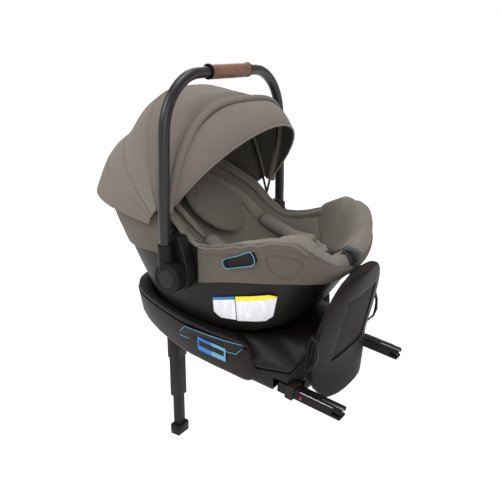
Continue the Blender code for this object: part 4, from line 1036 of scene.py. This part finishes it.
def handle():
    refined("handle_tube", "handle_tube_skin", DARK_TUBE, 1, 50)
    refined("handle_grip", "handle_grip_leather", LEATHER, 2, 60)
    for side, word in ((-1, "left"), (1, "right")):
        ring = side_ring(HANDLE_X, side * 0.0662, HANDLE_TOP, 0.0134, 32)
        tube(f"grip_collar_{word}", ring, 0.0018, SATIN, "handle", True, sides=10)
        rounded(f"handle_hub_{word}", f"handle_hub_{word}_body", 0.0016, SATIN, 4)
        rounded(f"hub_button_{word}", f"hub_button_{word}_cap", 0.0010, GREY)
        # A thin near-black ring on the hub: painted shadow in its groove.
        ring = side_ring(HUB_X, side * 0.2222, HUB_Z, 0.0262, 48)
        tube(f"hub_groove_shadow_{word}", ring, 0.0005, SHADOW, "handle", True, sides=6)
    tube("grip_seam", grip_line(0.0, 0.0142), 0.0008, LEATHER, "handle", sides=8)
    for shift, word in ((-0.0030, "front"), (0.0030, "back")):
        row = grip_line(shift, 0.0137)
        stitches(f"grip_stitches_{word}", row, "handle", 0.0048, 0.0032, 0.0004, LEATHER)


handle()


# ---------------------------------------------------------------- base

PITCH = math.radians(8.0)


def base_point(u, y, w):
    """A point of the pitched base frame, in the row frame."""
    c, s = math.cos(PITCH), math.sin(PITCH)
    return Vector((u * c + w * s, y, -u * s + w * c))


LOWER = rounded("base_lower_shell", "base_lower_skin", 0.0014, BASE_GREY)
refined("base_cradle", "base_cradle_skin", SHELL, 1, 36)
rounded("anti_rebound_panel", "rebound_panel_skin", 0.0030, PANEL, 3)
rounded("panel_inset", "panel_inset_pad", 0.0012, INSET)
rounded("level_bezel", "level_bezel_plate", 0.0004, SHELL)
rounded("level_scale", "level_scale_strip", 0.0004, SATIN)
rounded("recline_button", "recline_button_cap", 0.0008, GREY)
LOWER_TREE = tree_of(LOWER)


def wall_point(u, w, lift):
    """A point on the base's near wall, lifted off it."""
    start = base_point(u, -0.6, w)
    hit, normal, _, _ = LOWER_TREE.ray_cast(start, Vector((0, 1, 0)))
    return None if hit is None else hit + normal * lift


def wall_sticker(name, u_from, u_to, w_from, w_to, mat, lift):
    rows = []
    for r in range(5):
        w = w_from + (w_to - w_from) * r / 4
        row = [wall_point(u_from + (u_to - u_from) * c / 8, w, lift) for c in range(9)]
        if None in row:
            return
        rows.append(row)
    obj = sheet_object(name, rows, 0.0004, 0.0, 0)
    dress(obj, "base", mat)


wall_sticker("level_sticker_blue", -0.0190, 0.0145, 0.0300, 0.0620, BLUE, 0.0036)
wall_sticker("level_sticker_pale", 0.0150, 0.0480, 0.0300, 0.0620, LIGHT_BLUE, 0.0036)
wall_sticker("level_window", -0.0150, 0.0440, 0.0425, 0.0545, SATIN, 0.0044)


def bezel_outline():
    """Pale blue line round the level indicator's plate."""
    bezel = tree_of(bpy.data.objects["level_bezel_plate"])
    corners = (
        (-0.067, 0.0516), (0.008, 0.0496), (0.078, 0.0476),
        (0.100, 0.0711), (0.030, 0.0745), (-0.042, 0.0780),
    )
    line = []
    for k in range(len(corners)):
        (xa, za), (xb, zb) = corners[k], corners[(k + 1) % len(corners)]
        for step in range(10):
            x, z = xa + (xb - xa) * step / 10, za + (zb - za) * step / 10
            spots = [on_side(tree, x, z, -1, 0.0004) for tree in (bezel, LOWER_TREE)]
            spots = [spot for spot in spots if spot is not None]
            if spots:
                line.append(min(spots, key=lambda spot: spot.y))
    if len(line) > 8:
        tube("bezel_outline", line, 0.0007, LIGHT_BLUE, "base", True, sides=8)


bezel_outline()


def anchor_arms():
    for side, word in ((-1, "left"), (1, "right")):
        rounded(f"anchor_arm_{word}", f"anchor_arm_{word}_body", 0.0012, SATIN)
        rounded(f"anchor_hook_{word}", f"anchor_hook_{word}_jaw", 0.0006, STEEL)
        rounded(f"anchor_release_{word}", f"anchor_release_{word}_slider", 0.0008, GREY)
        edge = side * 0.1520
        line = [base_point(0.206 + 0.068 * k / 20, edge, 0.0257) for k in range(21)]
        tube(f"arm_line_{word}", line, 0.0007, SILVER, f"anchor_arm_{word}", sides=8)
        spot = [base_point(0.2085 + 0.003 * k, side * 0.1528, 0.0148) for k in range(2)]
        tube(f"arm_flag_{word}", spot, 0.0034, RED, f"anchor_arm_{word}", sides=16)


anchor_arms()
for word in ("left", "right"):
    rounded(f"lock_off_lever_{word}", f"lock_off_lever_{word}_loop", 0.0010, SATIN)


def leg():
    rounded("leg_housing", "leg_housing_body", 0.0014, SATIN)
    rounded("leg_middle_tube", "leg_middle_body", 0.0014, LEG_TUBE)
    rounded("leg_lower_tube", "leg_lower_body", 0.0014, LEG_TUBE)
    rounded("leg_foot", "leg_foot_body", 0.0016, SATIN)
    rounded("leg_foot_sole", "leg_foot_sole_pad", 0.0006, RUBBER)
    rounded("leg_button", "leg_button_cap", 0.0008, GREY)
    rounded("leg_hinge_pin", "leg_hinge_pin_body", 0.0005, STEEL)


leg()

for name in ("canopy_front_bow", "canopy_middle_bow"):
    refined(name, f"{name}_wire", SATIN, 1, 50)


# ---------------------------------------------------------------- stage, lights and camera

def stage():
    mesh = bpy.data.meshes.new("floor")
    half = 12.0
    floor_z = cad_box[0][2] - 0.0005
    corners = [(x * half, y * half, floor_z) for x, y in ((-1, -1), (1, -1), (1, 1), (-1, 1))]
    mesh.from_pydata(corners, [], [(0, 1, 2, 3)])
    floor = link_mesh("studio_floor", mesh)
    paint = Paint("floor_look", (0.25, 0.25, 0.25), 0.9)
    paint.shader.inputs["Emission Color"].default_value = (1.0, 1.0, 1.0, 1.0)
    paint.shader.inputs["Emission Strength"].default_value = 0.97
    floor.data.materials.append(paint.made)
    world = bpy.data.worlds.new("studio")
    world.use_nodes = True
    links = world.node_tree.links
    background = world.node_tree.nodes["Background"]
    background.inputs["Color"].default_value = (1.0, 1.0, 1.0, 1.0)
    rays = world.node_tree.nodes.new("ShaderNodeLightPath")
    level = world.node_tree.nodes.new("ShaderNodeMapRange")
    level.inputs["To Min"].default_value = 0.47
    level.inputs["To Max"].default_value = 1.0
    links.new(rays.outputs["Is Camera Ray"], level.inputs["Value"])
    links.new(level.outputs["Result"], background.inputs["Strength"])
    scene.world = world
    scene.view_settings.view_transform = "Standard"


def area_light(name, place, target, size, power):
    data = bpy.data.lights.new(name, "AREA")
    data.shape = "DISK"
    data.size = size
    data.energy = power
    lamp = bpy.data.objects.new(name, data)
    lamp.location = place
    lamp.rotation_euler = (Vector(target) - Vector(place)).to_track_quat("-Z", "Y").to_euler()
    scene.collection.objects.link(lamp)


def camera():
    """The camera looks down a little from the seat's near right, with a very slight roll."""
    turn, dip, roll = math.radians(33.383), math.radians(18.162), 0.005338
    right = Vector((math.cos(turn), math.sin(turn), 0))
    ahead = Vector((-math.sin(turn) * math.cos(dip), math.cos(turn) * math.cos(dip), -math.sin(dip)))
    up = right.cross(ahead)
    turned_right = right * math.cos(roll) + up * math.sin(roll)
    turned_up = up * math.cos(roll) - right * math.sin(roll)
    data = bpy.data.cameras.new("camera")
    data.sensor_width = 36.0
    data.lens = 45.34
    data.clip_start = 0.01
    made = bpy.data.objects.new("camera", data)
    made.matrix_world = Matrix.Translation((0.6955, -1.06424, 0.6131)) @ Matrix(
        (turned_right, turned_up, -ahead)).transposed().to_4x4()
    scene.collection.objects.link(made)
    scene.camera = made


stage()
area_light("key", (-0.9, -1.7, 1.9), (0, 0, 0.1), 1.3, 30)
area_light("fill", (1.5, -1.5, 1.1), (0, 0, 0.15), 1.6, 14)
area_light("top", (0.0, 0.2, 2.4), (0, 0, 0), 1.6, 22)
area_light("rim", (-1.2, 1.6, 1.4), (0, 0, 0.2), 1.0, 8)
camera()

for name, obj in nodes.items():
    if not obj.hide_render:
        obj.data.materials.clear()
        obj.data.materials.append(LOOKS[SLOT_OF[name]])
